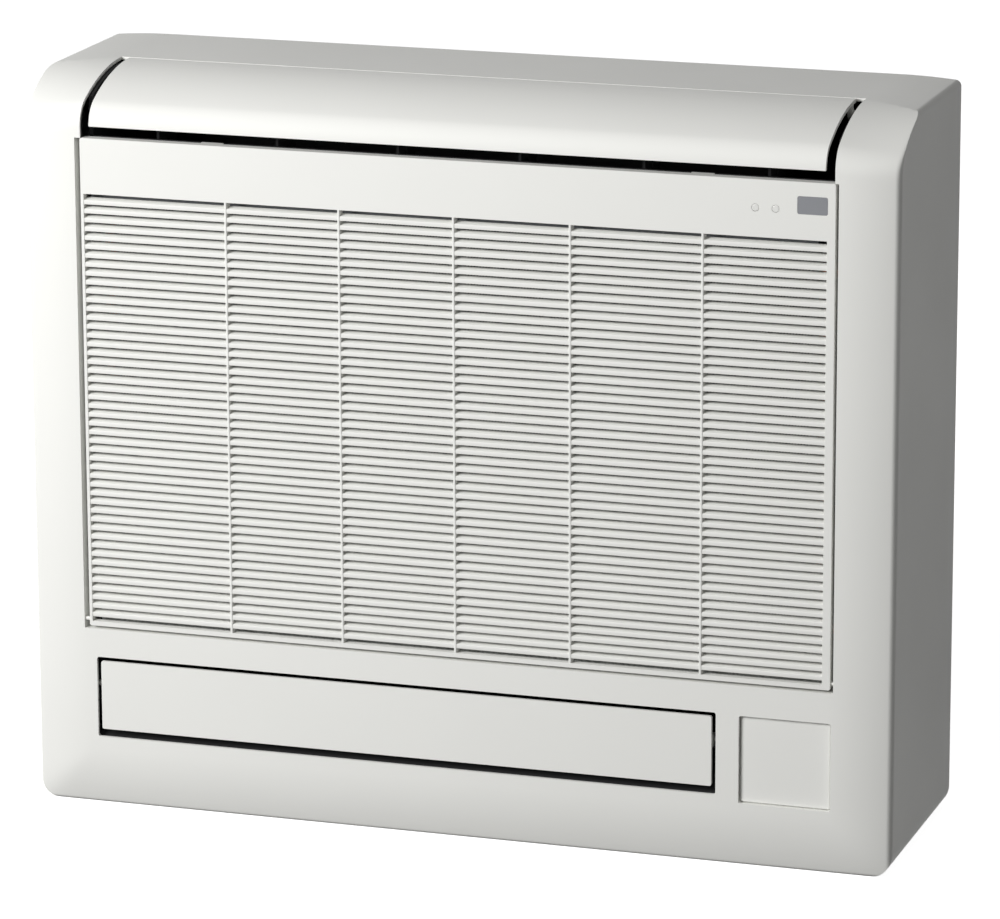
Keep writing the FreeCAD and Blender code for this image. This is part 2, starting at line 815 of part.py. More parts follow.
# Lower flap: a flat plate with ears, pivoted in the left cheek and in the end wall of the lower duct
low_left = dim.low_flap_side_gap - low_outlet_left
low_right = low_outlet_right - dim.low_flap_side_gap
low_pivot_y = front + dim.low_flap_pivot_setback
low_pivot_z = dim.low_flap_pivot_height
low_plate = block(
    "low_plate", (low_left, low_right), (front, front + dim.low_flap_thickness),
    (dim.low_outlet_bottom + dim.low_flap_bottom_gap, low_outlet_top - dim.low_flap_top_gap))
low_wall_right = low_outlet_right + dim.duct_wall
lower_flap = fused("lower_flap", [low_plate, *pivot_ears(
    "lower_flap", {"left": (low_left, -1, -pin_stop), "right": (low_right, 1, low_wall_right)},
    low_pivot_y, low_pivot_z, (front + dim.low_flap_thickness / 2, low_pivot_y),
    (low_pivot_z - dim.flap_ear_radius, low_pivot_z + dim.flap_ear_radius))])

# Rear chassis: back plate and two end cheeks, with bearings, wall-screw holes and pipe openings
fit = wall + dim.chassis_margin
plate_front = rear - dim.chassis_thickness
cheek_front = front + dim.cheek_front_setback
pin_bore = dim.flap_pin_radius + dim.pin_clearance
bush_bore = dim.bush_radius + dim.pin_clearance
upper_axis = (fan_y, upper_fan_z)
lower_axis = (fan_y, dim.lower_fan_z)
coil_front = cheek_front + dim.coil_gap
coil_rear = coil_front + dim.coil_depth
tube_y = (coil_front + coil_rear) / 2
tube_first_z = dim.coil_bottom + dim.tube_end_margin
tube_last_z = coil_top - dim.tube_end_margin
tube_pitch = (tube_last_z - tube_first_z) / (dim.tube_rows - 1)


def cheek(side, xs):
    """An end cheek that follows the casing inside, from the base pan to the brow."""
    form = prism(f"cheek_{side}_form", "YZ",
                 side_outline(wall + dim.cheek_top_drop, plate_front, dim.base_thickness, BROW), *xs)
    room = block(f"cheek_{side}_room", xs, (cheek_front, plate_front), (dim.base_thickness, top))
    return shared(f"cheek_{side}", [form, room])


back_plate = prism("back_plate", "XZ", front_outline(fit, 0 * wall), plate_front, rear)
low_lug = block(
    "low_pivot_lug", (-cheek_out, -cheek_in), (low_pivot_y - dim.lug_margin, cheek_front),
    (low_pivot_z - dim.lug_height / 2, low_pivot_z + dim.lug_height / 2))
chassis_solid = fused("chassis_solid", [
    back_plate, cheek("left", (-cheek_out, -cheek_in)), cheek("right", (cheek_in, cheek_out)), low_lug])
screw_x = cheek_in - dim.wall_screw_set_in
screw_xs = [-screw_x, screw_x]
screw_zs = [dim.wall_screw_bottom, top - dim.wall_screw_drop]
pipe_hole_x = cheek_in - dim.pipe_hole_set_in
chassis_cuts = [
    rod(f"wall_screw_hole_{i}{j}", "Y", (x, plate_front - past, z), dim.wall_screw_radius,
        dim.chassis_thickness + 2 * past)
    for i, x in enumerate(screw_xs) for j, z in enumerate(screw_zs)
]
chassis_cuts += [
    rod("pipe_hole", "Y", (pipe_hole_x, plate_front - past, dim.pipe_hole_z), dim.pipe_hole_radius,
        dim.chassis_thickness + 2 * past),
    block("pipe_pass", (cheek_in - past, cheek_out + past),
          (plate_front - dim.pipe_pass_depth, plate_front),
          (dim.pipe_hole_z - dim.pipe_hole_radius, dim.pipe_hole_z + dim.pipe_hole_radius)),
    rod("upper_flap_bore", "X", (-cheek_out - past, pivot_y, pivot_z), pin_bore, 2 * (cheek_out + past)),
    rod("lower_flap_bore", "X", (-cheek_out - past, low_pivot_y, low_pivot_z), pin_bore,
        dim.cheek_thickness + 2 * past),
    rod("gas_pass", "X", (cheek_in - past, tube_y, tube_last_z), dim.gas_pipe_radius + dim.pipe_gap,
        dim.cheek_thickness + 2 * past),
    rod("liquid_pass", "X", (cheek_in - past, tube_y, tube_first_z), dim.liquid_pipe_radius + dim.pipe_gap,
        dim.cheek_thickness + 2 * past),
]
chassis_cuts += [
    rod(f"{name}_bush_bore", "X", (-cheek_out - past, *axis), bush_bore, dim.cheek_thickness + 2 * past)
    for name, axis in (("upper", upper_axis), ("lower", lower_axis))
]
rear_chassis = trimmed("rear_chassis", chassis_solid, chassis_cuts)

# Base pan: a tray inside the casing's foot


def tray(name, inset, back, floor, rim):
    """A low slice of the casing's inside, between a floor and a rim."""
    return shared(name, [
        prism(f"{name}_plan", "XY", plan_outline(inset, back), floor, rim),
        prism(f"{name}_side", "YZ", side_outline(inset, back, 0 * wall, BROW), -half_width, half_width),
        prism(f"{name}_front", "XZ", front_outline(inset, 0 * wall), front, back),
    ])


base_pan = trimmed(
    "base_pan", tray("base_form", fit, plate_front, 0 * wall, dim.base_rim_height),
    [tray("base_well", fit + wall, plate_front + past, dim.base_thickness, dim.base_rim_height + past)])

# Heat exchanger: fins on a serpentine of tubes between two tube sheets, standing in the drain pan
drain_bottom = dim.drain_floor + dim.drain_wall


def fin_pack():
    """A row of upright fins."""
    body = doc.addObject("PartDesign::Body", "evaporator_fins")
    body.AllowCompound = True
    sketch = new_sketch(body, "fin_outline", "YZ", -coil_half)
    draw(sketch, [
        (coil_front, dim.coil_bottom),
        (coil_rear, dim.coil_bottom),
        (coil_rear, coil_top),
        (coil_front, coil_top),
    ])
    pad = body.newObject("PartDesign::Pad", "fin_pad")
    pad.Profile = sketch
    bind(pad, "Length", dim.fin_thickness)
    doc.recompute()
    rows = body.newObject("PartDesign::LinearPattern", "fin_rows")
    rows.Originals = [pad]
    rows.Direction = (origin_part(body, "X_Axis"), [""])
    bind(rows, "Length", 2 * coil_half - dim.fin_thickness)
    rows.Occurrences = dim.count("fin_count")
    body.Tip = rows
    return body


def half_bend(name, x, z, sign):
    """A return bend between two tubes, bulging to the left or the right."""
    item = doc.addObject("Part::Torus", name)
    bind(item, "Radius1", tube_pitch / 2)
    bind(item, "Radius2", dim.tube_radius)
    item.Angle3 = 180
    lie = FreeCAD.Rotation(FreeCAD.Vector(1, 0, 0), 90)
    lean = FreeCAD.Rotation(FreeCAD.Vector(0, 1, 0), 90 * sign)
    place(item, x, tube_y, z, turn=lean.multiply(lie))
    return item


evaporator_fins = fin_pack()
sheet_end = coil_half + dim.sheet_thickness
tube_sheet_left = block("tube_sheet_left", (-sheet_end, -coil_half), (coil_front, coil_rear),
                        (drain_bottom, coil_top))
tube_sheet_right = block("tube_sheet_right", (coil_half, sheet_end), (coil_front, coil_rear),
                         (drain_bottom, coil_top))
tube_pieces = []
for index in range(dim.count("tube_rows")):
    tube_z = tube_first_z + tube_pitch * index
    start = (-sheet_end, tube_y, tube_z)
    tube_pieces.append(rod(f"tube_{index + 1}", "X", start, dim.tube_radius, 2 * sheet_end))
    if index:
        side = 1 if index % 2 == 0 else -1
        tube_pieces.append(half_bend(f"bend_{index}", sheet_end * side, tube_z - tube_pitch / 2, side))
evaporator_tubes = fused("evaporator_tubes", tube_pieces)

drain_ys = (coil_front - dim.drain_margin, coil_rear + dim.drain_margin)
drain_top = dim.drain_floor + dim.drain_height
drain_wall = dim.drain_wall
drain_form = block("drain_form", (-cheek_in, cheek_in), drain_ys, (dim.drain_floor, drain_top))
drain_well = block("drain_well", (drain_wall - cheek_in, cheek_in - drain_wall),
                   (drain_ys[0] + drain_wall, drain_ys[1] - drain_wall), (drain_bottom, drain_top + past))
spout_x = cheek_in - dim.spout_set_in
drain_hole = rod("drain_hole", "Z", (spout_x, tube_y, dim.drain_floor - past),
                 dim.spout_radius - drain_wall, drain_wall + 2 * past)
drain_pan = trimmed("drain_pan", drain_form, [drain_well, drain_hole])
spout_start = (spout_x, tube_y, dim.drain_floor - dim.spout_length)
drain_spout = trimmed("drain_spout", rod("spout_form", "Z", spout_start, dim.spout_radius, dim.spout_length), [
    rod("spout_bore", "Z", (spout_x, tube_y, spout_start[2] - past), dim.spout_radius - drain_wall,
        dim.spout_length + 2 * past)])


def filter_frame(name, left, right):
    """An air filter: a flat frame crossed by thin bars."""
    bar = dim.filter_bar
    ys = (cheek_front - dim.filter_thickness, cheek_front)
    zs = (dim.filter_bottom, panel_top - dim.filter_top_drop)
    columns = dim.count("filter_columns")
    rows = dim.count("filter_rows")
    bars = []
    for step in range(columns + 1):
        x = left + (right - left - bar) * step / columns
        bars.append(block(f"{name}_upright_{step}", (x, x + bar), ys, zs))
    for step in range(rows + 1):
        z = zs[0] + (zs[1] - zs[0] - bar) * step / rows
        bars.append(block(f"{name}_cross_{step}", (left, right), ys, (z, z + bar)))
    return fused(name, bars)


filter_left = filter_frame("filter_left", -cheek_in - dim.filter_left_overlap, -dim.filter_middle_gap)
filter_right = filter_frame("filter_right", dim.filter_middle_gap, cheek_in - dim.filter_right_set_in)

# Cross-flow fans: rings and end discs along the axis, joined by a circle of curved blades


def blade_ring(name, radius, xs, axis):
    """The curved blades of a fan, patterned round its axis."""
    body = doc.addObject("PartDesign::Body", name)
    body.AllowCompound = True
    sketch = new_sketch(body, f"{name}_outline", "YZ", 0)
    half = dim.fan_blade_thickness / 2
    inner = radius - dim.fan_blade_depth
    outer = radius - dim.fan_blade_inset
    draw(sketch, [
        (inner, -half, dim.fan_blade_bend),
        (outer, dim.fan_blade_lean - half),
        (outer, dim.fan_blade_lean + half, -dim.fan_blade_bend),
        (inner, half),
    ])
    pad = body.newObject("PartDesign::Pad", f"{name}_pad")
    pad.Profile = sketch
    bind(pad, "Length", xs[1] - xs[0])
    doc.recompute()
    ring = body.newObject("PartDesign::PolarPattern", f"{name}_round")
    ring.Originals = [pad]
    ring.Axis = (origin_part(body, "X_Axis"), [""])
    ring.Angle = 360
    ring.Occurrences = dim.count("fan_blade_count")
    body.Tip = ring
    place(body, xs[0], *axis)
    return body


def fan(name, radius, right, axis):
    """A cross-flow impeller with shaft holes in its end discs."""
    left = -fan_left
    thick = dim.fan_disc_thickness
    discs = []
    last = dim.count("fan_disc_count") - 1
    for step in range(last + 1):
        x = left + (right - left - thick) * step / last
        rim = radius - dim.fan_blade_depth - dim.fan_blade_inset
        hole = dim.shaft_radius if step in (0, last) else rim
        disc = rod(f"{name}_disc_form_{step}", "X", (x, *axis), radius, thick)
        bore = rod(f"{name}_disc_bore_{step}", "X", (x - past, *axis), hole, thick + 2 * past)
        discs.append(trimmed(f"{name}_disc_{step}", disc, [bore]))
    return fused(name, [*discs, blade_ring(
        f"{name}_blades", radius, (left + thick / 2, right - thick / 2), axis)])


def fan_shafts(name, right, axis):
    """The stub in the bush and the drive shaft in the motor, each as deep in its end disc as that is thick."""
    thick = dim.fan_disc_thickness
    stub_end = -fan_left + thick
    drive_start = right - thick
    return fused(name, [
        rod(f"{name}_stub", "X", (-cheek_in, *axis), dim.shaft_radius, stub_end + cheek_in),
        rod(f"{name}_drive", "X", (drive_start, *axis), dim.shaft_radius,
            thick + dim.motor_gap + dim.motor_boss_length + dim.shaft_grip),
    ])


def fan_bush(name, axis):
    """The bearing bush in the left cheek."""
    bore = dim.shaft_radius + dim.pin_clearance
    return turned(name, [
        (0 * wall, bore),
        (dim.bush_length, bore),
        (dim.bush_length, dim.bush_radius),
        (0 * wall, dim.bush_radius),
    ], (-cheek_out, *axis))


def fan_motor(name, right, axis):
    """A round motor can with rounded edges and a bearing boss towards the fan."""
    bore = dim.shaft_radius + dim.pin_clearance
    edge = dim.motor_edge
    boss = dim.motor_boss_length
    length = boss + dim.motor_length
    depth = boss + dim.shaft_grip + dim.pin_clearance
    return turned(name, [
        (0 * wall, bore),
        (depth, bore),
        (depth, 0 * wall),
        (length, 0 * wall),
        (length, dim.motor_radius - edge, edge),
        (length - edge, dim.motor_radius),
        (boss + edge, dim.motor_radius, edge),
        (boss, dim.motor_radius - edge),
        (boss, dim.motor_boss_radius),
        (0 * wall, dim.motor_boss_radius),
    ], (right + dim.motor_gap, *axis))


def motor_clamp(name, right, axis):
    """A strap round a motor with a foot and a flange on the back plate, and its two screws."""
    y, z = axis
    start = right + dim.motor_gap + dim.motor_boss_length + (dim.motor_length - dim.clamp_width) / 2
    end = start + dim.clamp_width
    strap = dim.motor_radius + dim.clamp_thickness
    seat = plate_front - dim.clamp_thickness
    solid = fused(f"{name}_solid", [
        rod(f"{name}_strap", "X", (start, y, z), strap, dim.clamp_width),
        block(f"{name}_foot", (start, end), (y, plate_front),
              (z - dim.foot_height / 2, z + dim.foot_height / 2)),
        block(f"{name}_flange", (start, end), (seat, plate_front),
              (z - dim.flange_height / 2, z + dim.flange_height / 2)),
    ])
    bore = rod(f"{name}_bore", "X", (start - past, y, z), dim.motor_radius + dim.pin_clearance,
               dim.clamp_width + 2 * past)
    spots = [((start + end) / 2, seat, z + share * dim.clamp_screw_pitch) for share in SCREW_SHARES]
    holes = [
        rod(f"{name}_hole_{step}", "Y", (x, place_y - past, place_z), dim.screw_shank_radius + dim.pin_clearance,
            dim.clamp_thickness + 2 * past)
        for step, (x, place_y, place_z) in enumerate(spots)
    ]
    screws = []
    for step, (x, place_y, place_z) in enumerate(spots):
        head_y = place_y - dim.screw_head_height
        head = rod(f"{name}_head_{step}", "Y", (x, head_y, place_z), dim.screw_head_radius, dim.screw_head_height)
        shank = rod(f"{name}_shank_{step}", "Y", (x, head_y, place_z), dim.screw_shank_radius,
                    dim.screw_head_height + dim.clamp_thickness)
        screws.append(fused(f"{name}_screw_{step}", [head, shank]))
    return trimmed(name, solid, [bore, *holes]), screws


upper_right = cheek_in - dim.upper_drive_room
lower_right = cheek_in - dim.lower_drive_room
upper_fan = fan("upper_fan", dim.upper_fan_radius, upper_right, upper_axis)
lower_fan = fan("lower_fan", dim.lower_fan_radius, lower_right, lower_axis)
upper_fan_shafts = fan_shafts("upper_fan_shafts", upper_right, upper_axis)
lower_fan_shafts = fan_shafts("lower_fan_shafts", lower_right, lower_axis)
upper_fan_bush = fan_bush("upper_fan_bush", upper_axis)
lower_fan_bush = fan_bush("lower_fan_bush", lower_axis)
upper_fan_motor = fan_motor("upper_fan_motor", upper_right, upper_axis)
lower_fan_motor = fan_motor("lower_fan_motor", lower_right, lower_axis)
upper_motor_clamp, upper_screws = motor_clamp("upper_motor_clamp", upper_right, upper_axis)
lower_motor_clamp, lower_screws = motor_clamp("lower_motor_clamp", lower_right, lower_axis)
clamp_screws = fused("clamp_screws", [*upper_screws, *lower_screws])

# Air ducts: a scroll behind each fan and a stabiliser in front of it
duct = dim.duct_wall
upper_bend = dim.upper_fan_radius + dim.scroll_gap
roof_z = top - dim.roof_drop
roof_front = brow_end + dim.roof_setback
upper_back = fan_y + upper_bend
turn_y = upper_back - dim.roof_radius
turn_z = roof_z - dim.roof_radius
tongue_y = fan_y - dim.upper_fan_radius
tongue_z = upper_fan_z + dim.tongue_rise
knee_y = tongue_y - dim.tongue_lean
knee_z = tongue_z + dim.tongue_fold
lip_y = front + dim.throat_lip_setback
lip_floor = panel_top - dim.throat_lip_drop
upper_end = upper_right + dim.duct_end_gap
boss_bore = dim.motor_boss_radius + dim.pipe_gap
upper_guide = prism("upper_guide", "YZ", [
    (fan_y, upper_fan_z - upper_bend - duct, upper_bend + duct),
    (upper_back + duct, upper_fan_z),
    (upper_back + duct, turn_z, dim.roof_radius + duct),
    (turn_y, roof_z + duct),
    (roof_front, roof_z + duct),
    (roof_front, roof_z),
    (turn_y, roof_z, -dim.roof_radius),
    (upper_back, turn_z),
    (upper_back, upper_fan_z, -upper_bend),
    (fan_y, upper_fan_z - upper_bend),
], -cheek_in, upper_end)
upper_end_wall = prism("upper_end_wall", "YZ", [
    (fan_y, upper_fan_z - upper_bend - duct, upper_bend + duct),
    (upper_back + duct, upper_fan_z),
    (upper_back + duct, turn_z, dim.roof_radius + duct),
    (turn_y, roof_z + duct),
    (roof_front, roof_z + duct),
    (tongue_y + dim.tongue_lean, tongue_z),
    (tongue_y, upper_fan_z),
], upper_end - duct, upper_end)
upper_scroll = trimmed("upper_scroll", fused("upper_scroll_solid", [upper_guide, upper_end_wall]), [
    rod("upper_boss_bore", "X", (upper_end - duct - past, *upper_axis), boss_bore, duct + 2 * past)])

floor_slope = (lip_floor - knee_z) / (knee_y - lip_y)
floor_rise = duct * root(floor_slope * floor_slope + 1)
vane_y = front + dim.vane_pivot_setback
vane_pitch = 2 * flap_half / dim.vane_count
vane_total = dim.count("vane_count")
vane_xs = [vane_pitch * (step - (vane_total - 1) / 2) for step in range(vane_total)]


def floor_z(y):
    """The upper face of the throat's floor at a depth."""
    return lip_floor + floor_rise - floor_slope * (y - lip_y)


throat_floor = prism("throat_floor", "YZ", [
    (lip_y, lip_floor),
    (knee_y, knee_z),
    (tongue_y, tongue_z),
    (tongue_y + duct, tongue_z),
    (knee_y + duct, knee_z + floor_rise),
    (lip_y, lip_floor + floor_rise),
], -cheek_in, cheek_in)
upper_stabiliser = trimmed("upper_stabiliser", throat_floor, [
    rod(f"vane_bore_{step + 1}", "Z", (x, vane_y, knee_z), dim.vane_pin_radius + dim.pin_clearance,
        lip_floor - knee_z + past)
    for step, x in enumerate(vane_xs)
])

lower_bend = dim.lower_fan_radius + dim.scroll_gap
lower_back = fan_y + lower_bend
lower_top = dim.lower_fan_z + dim.low_scroll_rise
duct_front = front + dim.duct_front_setback
chin_z = dim.low_outlet_bottom - dim.chin_drop
low_roof = low_outlet_top + dim.low_roof_gap
low_tongue_y = fan_y - dim.lower_fan_radius - dim.tongue_gap
low_tongue_z = dim.lower_fan_z + dim.low_tongue_rise
lower_guide = prism("lower_guide", "YZ", [
    (duct_front, chin_z - duct),
    (fan_y, dim.lower_fan_z - lower_bend - duct, lower_bend + duct),
    (lower_back + duct, dim.lower_fan_z),
    (lower_back + duct, lower_top),
    (lower_back, lower_top),
    (lower_back, dim.lower_fan_z, -lower_bend),
    (fan_y, dim.lower_fan_z - lower_bend),
    (duct_front, chin_z),
], -cheek_in, low_wall_right)
lower_end_wall = prism("lower_end_wall", "YZ", [
    (duct_front, chin_z - duct),
    (fan_y, dim.lower_fan_z - lower_bend - duct, lower_bend + duct),
    (lower_back + duct, dim.lower_fan_z),
    (lower_back + duct, lower_top),
    (fan_y, lower_top),
    (low_tongue_y, low_tongue_z),
    (low_tongue_y - dim.tongue_lean, low_roof),
    (duct_front, low_roof),
], low_outlet_right, low_wall_right)
lower_scroll = trimmed("lower_scroll", fused("lower_scroll_solid", [lower_guide, lower_end_wall]), [
    rod("lower_boss_bore", "X", (low_outlet_right - past, *lower_axis), boss_bore, duct + 2 * past),
    rod("lower_pin_bore", "X", (low_outlet_right - past, low_pivot_y, low_pivot_z), pin_bore, duct + 2 * past),
])
lower_stabiliser = prism("lower_stabiliser", "YZ", [
    (duct_front, low_roof),
    (low_tongue_y - dim.tongue_lean, low_roof),
    (low_tongue_y, low_tongue_z),
    (low_tongue_y - duct, low_tongue_z),
    (low_tongue_y - dim.tongue_lean - duct, low_roof + duct),
    (duct_front, low_roof + duct),
], -cheek_in, low_wall_right)

# Upright vanes in the throat and the bar that ties them
vane_front = vane_y - dim.vane_length / 2
vane_rear = vane_y + dim.vane_length / 2
link_y = vane_y + dim.link_arm


def vane(name, x):
    """An upright blade with a pin in the throat's floor and a pin for the tie bar."""
    blade = prism(f"{name}_blade", "YZ", [
        (vane_front, floor_z(vane_front) + dim.vane_clearance),
        (vane_rear, floor_z(vane_rear) + dim.vane_clearance),
        (vane_rear, vane_top),
        (vane_front, vane_top),
    ], x - dim.vane_thickness / 2, x + dim.vane_thickness / 2)
    pin_foot = floor_z(vane_y) - floor_rise
    return fused(name, [
        blade,
        rod(f"{name}_pin", "Z", (x, vane_y, pin_foot), dim.vane_pin_radius, vane_top - pin_foot),
        rod(f"{name}_link_pin", "Z", (x, link_y, vane_top - dim.link_pin_height), dim.link_pin_radius,
            2 * dim.link_pin_height),
    ])


vanes = [vane(f"vane_{step + 1}", x) for step, x in enumerate(vane_xs)]
link_floor = vane_top + dim.link_gap
link_form = block("link_form", (vane_xs[0] - dim.link_width, vane_xs[-1] + dim.link_width),
                  (link_y - dim.link_width / 2, link_y + dim.link_width / 2),
                  (link_floor, link_floor + dim.link_thickness))
vane_link = trimmed("vane_link", link_form, [
    rod(f"link_bore_{step + 1}", "Z", (x, link_y, link_floor - past), dim.link_pin_radius + dim.pin_clearance,
        dim.link_thickness + 2 * past)
    for step, x in enumerate(vane_xs)
])


def step_motor(name, x, y, z):
    """A flat geared motor with two fixing lugs, its shaft end beside the middle of the can."""
    lug_half = dim.step_lug_width / 2
    return fused(name, [
        rod(f"{name}_can", "X", (x, y, z), dim.step_motor_radius, dim.step_motor_length),
        block(f"{name}_lugs", (x, x + dim.step_lug_thickness),
              (y - dim.step_lug_height / 2, y + dim.step_lug_height / 2),
              (z - lug_half, z + lug_half - dim.step_lug_trim)),
    ])


upper_flap_motor = step_motor("upper_flap_motor", cheek_out, pivot_y, pivot_z - dim.step_motor_offset)
lower_flap_motor = step_motor(
    "lower_flap_motor", low_wall_right, low_pivot_y + dim.step_motor_offset, low_pivot_z)

# Control box on the right cheek, with its board, cover and the terminal block below it
box_rear = plate_front - dim.control_rear_gap
box_front = coil_rear + dim.control_front_gap
box_zs = (dim.control_bottom, top - dim.control_top_drop)
box_end = cheek_out + dim.control_width
shell = dim.control_wall
box_ys = (box_front, box_rear)
control_room = block("control_room", (cheek_out + shell, box_end + past), (box_front + shell, box_rear - shell),
                     (box_zs[0] + shell, box_zs[1] - shell))
control_form = block("control_form", (cheek_out, box_end), box_ys, box_zs)
control_box = trimmed("control_box", control_form, [control_room])
control_cover = block("control_cover", (box_end, box_end + shell), box_ys, box_zs)
stud_foot = cheek_out + shell
stud_top = stud_foot + dim.control_stud
board_margin = shell + dim.control_stud
board_ys = (box_front + board_margin, box_rear - board_margin)
board_zs = (box_zs[0] + board_margin, box_zs[1] - board_margin)
control_studs = fused("control_studs", [
    rod(f"stud_{i}{j}", "X", (stud_foot, y, z), dim.screw_shank_radius, dim.control_stud)
    for i, y in enumerate((board_ys[0] + board_margin, board_ys[1] - board_margin))
    for j, z in enumerate((board_zs[0] + board_margin, board_zs[1] - board_margin))
])
board_plate = block("board_plate", (stud_top, stud_top + dim.board_thickness), board_ys, board_zs)
component_rows = range(dim.count("component_count"))
component_zs = [board_zs[0] + board_margin + dim.component_pitch * row for row in component_rows]
board_blocks = [
    block(f"board_block_{step}", (stud_top, stud_top + dim.component_height),
          (board_ys[0] + board_margin, board_ys[0] + board_margin + dim.component_size),
          (z, z + dim.component_size))
    for step, z in enumerate(component_zs)
]
control_board = fused("control_board", [board_plate, *board_blocks])
terminal_top = dim.control_bottom - dim.control_stud
terminal_zs = (terminal_top - dim.terminal_height, terminal_top)
terminal_ys = (box_front, box_front + dim.terminal_depth)
terminal_form = block("terminal_form", (cheek_out, cheek_out + dim.terminal_width), terminal_ys, terminal_zs)
terminal_step = dim.terminal_height / dim.terminal_poles
terminal_block = trimmed("terminal_block", terminal_form, [
    block(f"terminal_groove_{pole}",
          (cheek_out + dim.terminal_width / 2, cheek_out + dim.terminal_width + past),
          (terminal_ys[0] - past, terminal_ys[1] + past),
          (terminal_zs[0] + terminal_step * pole - dim.terminal_groove / 2,
           terminal_zs[0] + terminal_step * pole + dim.terminal_groove / 2))
    for pole in range(1, dim.count("terminal_poles"))
])

# Push button behind the panel, in a holder on the right cheek
holder_front = cheek_front - dim.filter_thickness
holder_xs = (cheek_in - dim.holder_size, cheek_in)
holder_zs = (dim.button_height, dim.button_height + dim.holder_size)
button_x = (holder_xs[0] + holder_xs[1]) / 2
button_z = (holder_zs[0] + holder_zs[1]) / 2
holder_form = block("holder_form", holder_xs, (holder_front, holder_front + dim.holder_depth), holder_zs)
button_bore = rod("button_bore", "Y", (button_x, holder_front - past, button_z),
                  dim.button_radius + dim.pin_clearance, past + dim.holder_depth - dim.holder_wall)
button_holder = trimmed("button_holder", holder_form, [button_bore])
push_button = rod("push_button", "Y", (button_x, holder_front - dim.button_proud, button_z), dim.button_radius,
                  dim.button_proud + dim.holder_depth - dim.holder_wall - dim.button_travel - dim.link_gap)


def quarter_bend(name, x, z, radius):
    """A quarter bend from the run along +X to the run down."""
    item = doc.addObject("Part::Torus", name)
    bind(item, "Radius1", dim.pipe_bend_radius)
    bind(item, "Radius2", radius)
    item.Angle3 = 90
    place(item, x, tube_y, z, turn=FreeCAD.Rotation(FreeCAD.Vector(1, 0, 0), 90))
    return item


def pipe(name, drop_x, z, radius):
    """A pipe from the end of its tube, through the cheek and down to its flare nut."""
    bend_x = drop_x - dim.pipe_bend_radius
    bend_z = z - dim.pipe_bend_radius
    return fused(name, [
        rod(f"{name}_run", "X", (sheet_end, tube_y, z), radius, bend_x - sheet_end),
        quarter_bend(f"{name}_bend", bend_x, bend_z, radius),
        rod(f"{name}_drop", "Z", (drop_x, tube_y, dim.pipe_end_z), radius, bend_z - dim.pipe_end_z),
    ])


def flare_nut(name, x, radius):
    """A six-sided nut on the end of a pipe."""
    form = doc.addObject("Part::Prism", f"{name}_form")
    form.Polygon = 6
    bind(form, "Circumradius", dim.flare_nut_radius)
    bind(form, "Height", dim.flare_nut_length)
    place(form, x, tube_y, dim.pipe_end_z)
    bore = rod(f"{name}_bore", "Z", (x, tube_y, dim.pipe_end_z - past), radius + dim.pin_clearance,
               dim.flare_nut_length + 2 * past)
    return trimmed(name, form, [bore])


pipe_x = cheek_in + dim.pipe_set_out
gas_x = pipe_x + dim.pipe_lane / 2
liquid_x = pipe_x - dim.pipe_lane / 2
gas_pipe = pipe("gas_pipe", gas_x, tube_last_z, dim.gas_pipe_radius)
liquid_pipe = pipe("liquid_pipe", liquid_x, tube_first_z, dim.liquid_pipe_radius)
flare_nuts = fused("flare_nuts", [
    flare_nut("gas_nut", gas_x, dim.gas_pipe_radius),
    flare_nut("liquid_nut", liquid_x, dim.liquid_pipe_radius)])
sensor_y = tube_y - dim.gas_pipe_radius - dim.sensor_radius - dim.link_gap
pipe_sensor = rod("pipe_sensor", "Z", (gas_x, sensor_y, box_zs[0]), dim.sensor_radius, dim.sensor_length)

PIECES = [
    front_casing, service_cover, inlet_panel, display_window, lamp_lenses, display_board, panel_catches,
    upper_flap, lower_flap, rear_chassis, base_pan, evaporator_fins, evaporator_tubes, tube_sheet_left,
    tube_sheet_right, drain_pan, drain_spout, filter_left, filter_right, upper_fan, lower_fan, upper_fan_shafts,
    lower_fan_shafts, upper_fan_bush, lower_fan_bush, upper_fan_motor, lower_fan_motor, upper_motor_clamp,
    lower_motor_clamp, clamp_screws, upper_scroll, upper_stabiliser, lower_scroll, lower_stabiliser, *vanes,
    vane_link, upper_flap_motor, lower_flap_motor, control_box, control_cover, control_studs, control_board,
    terminal_block, button_holder, push_button, gas_pipe, liquid_pipe, flare_nuts, pipe_sensor,
]
doc.recompute()
for item in doc.Objects:
    if {"Invalid", "Error"} & set(item.State):
        raise RuntimeError(f"{item.Label} could not be made: {item.State}")
for piece in PIECES:
    if piece.Shape.isNull() or not piece.Shape.isValid() or not piece.Shape.Solids:
        raise RuntimeError(f"{piece.Label} has no sound shape")
os.makedirs("parts", exist_ok=True)
for piece in PIECES:
    piece.Shape.exportStep(f"parts/{piece.Label}.step")
    print(f"{piece.Label}: {len(piece.Shape.Solids)} solid(s), {piece.Shape.Volume / 1000:.1f} cm3")
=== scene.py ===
import json
import logging
import math
from dataclasses import dataclass, field
from enum import Enum
from typing import Any

import bmesh
import bpy
from mathutils import Matrix, Vector


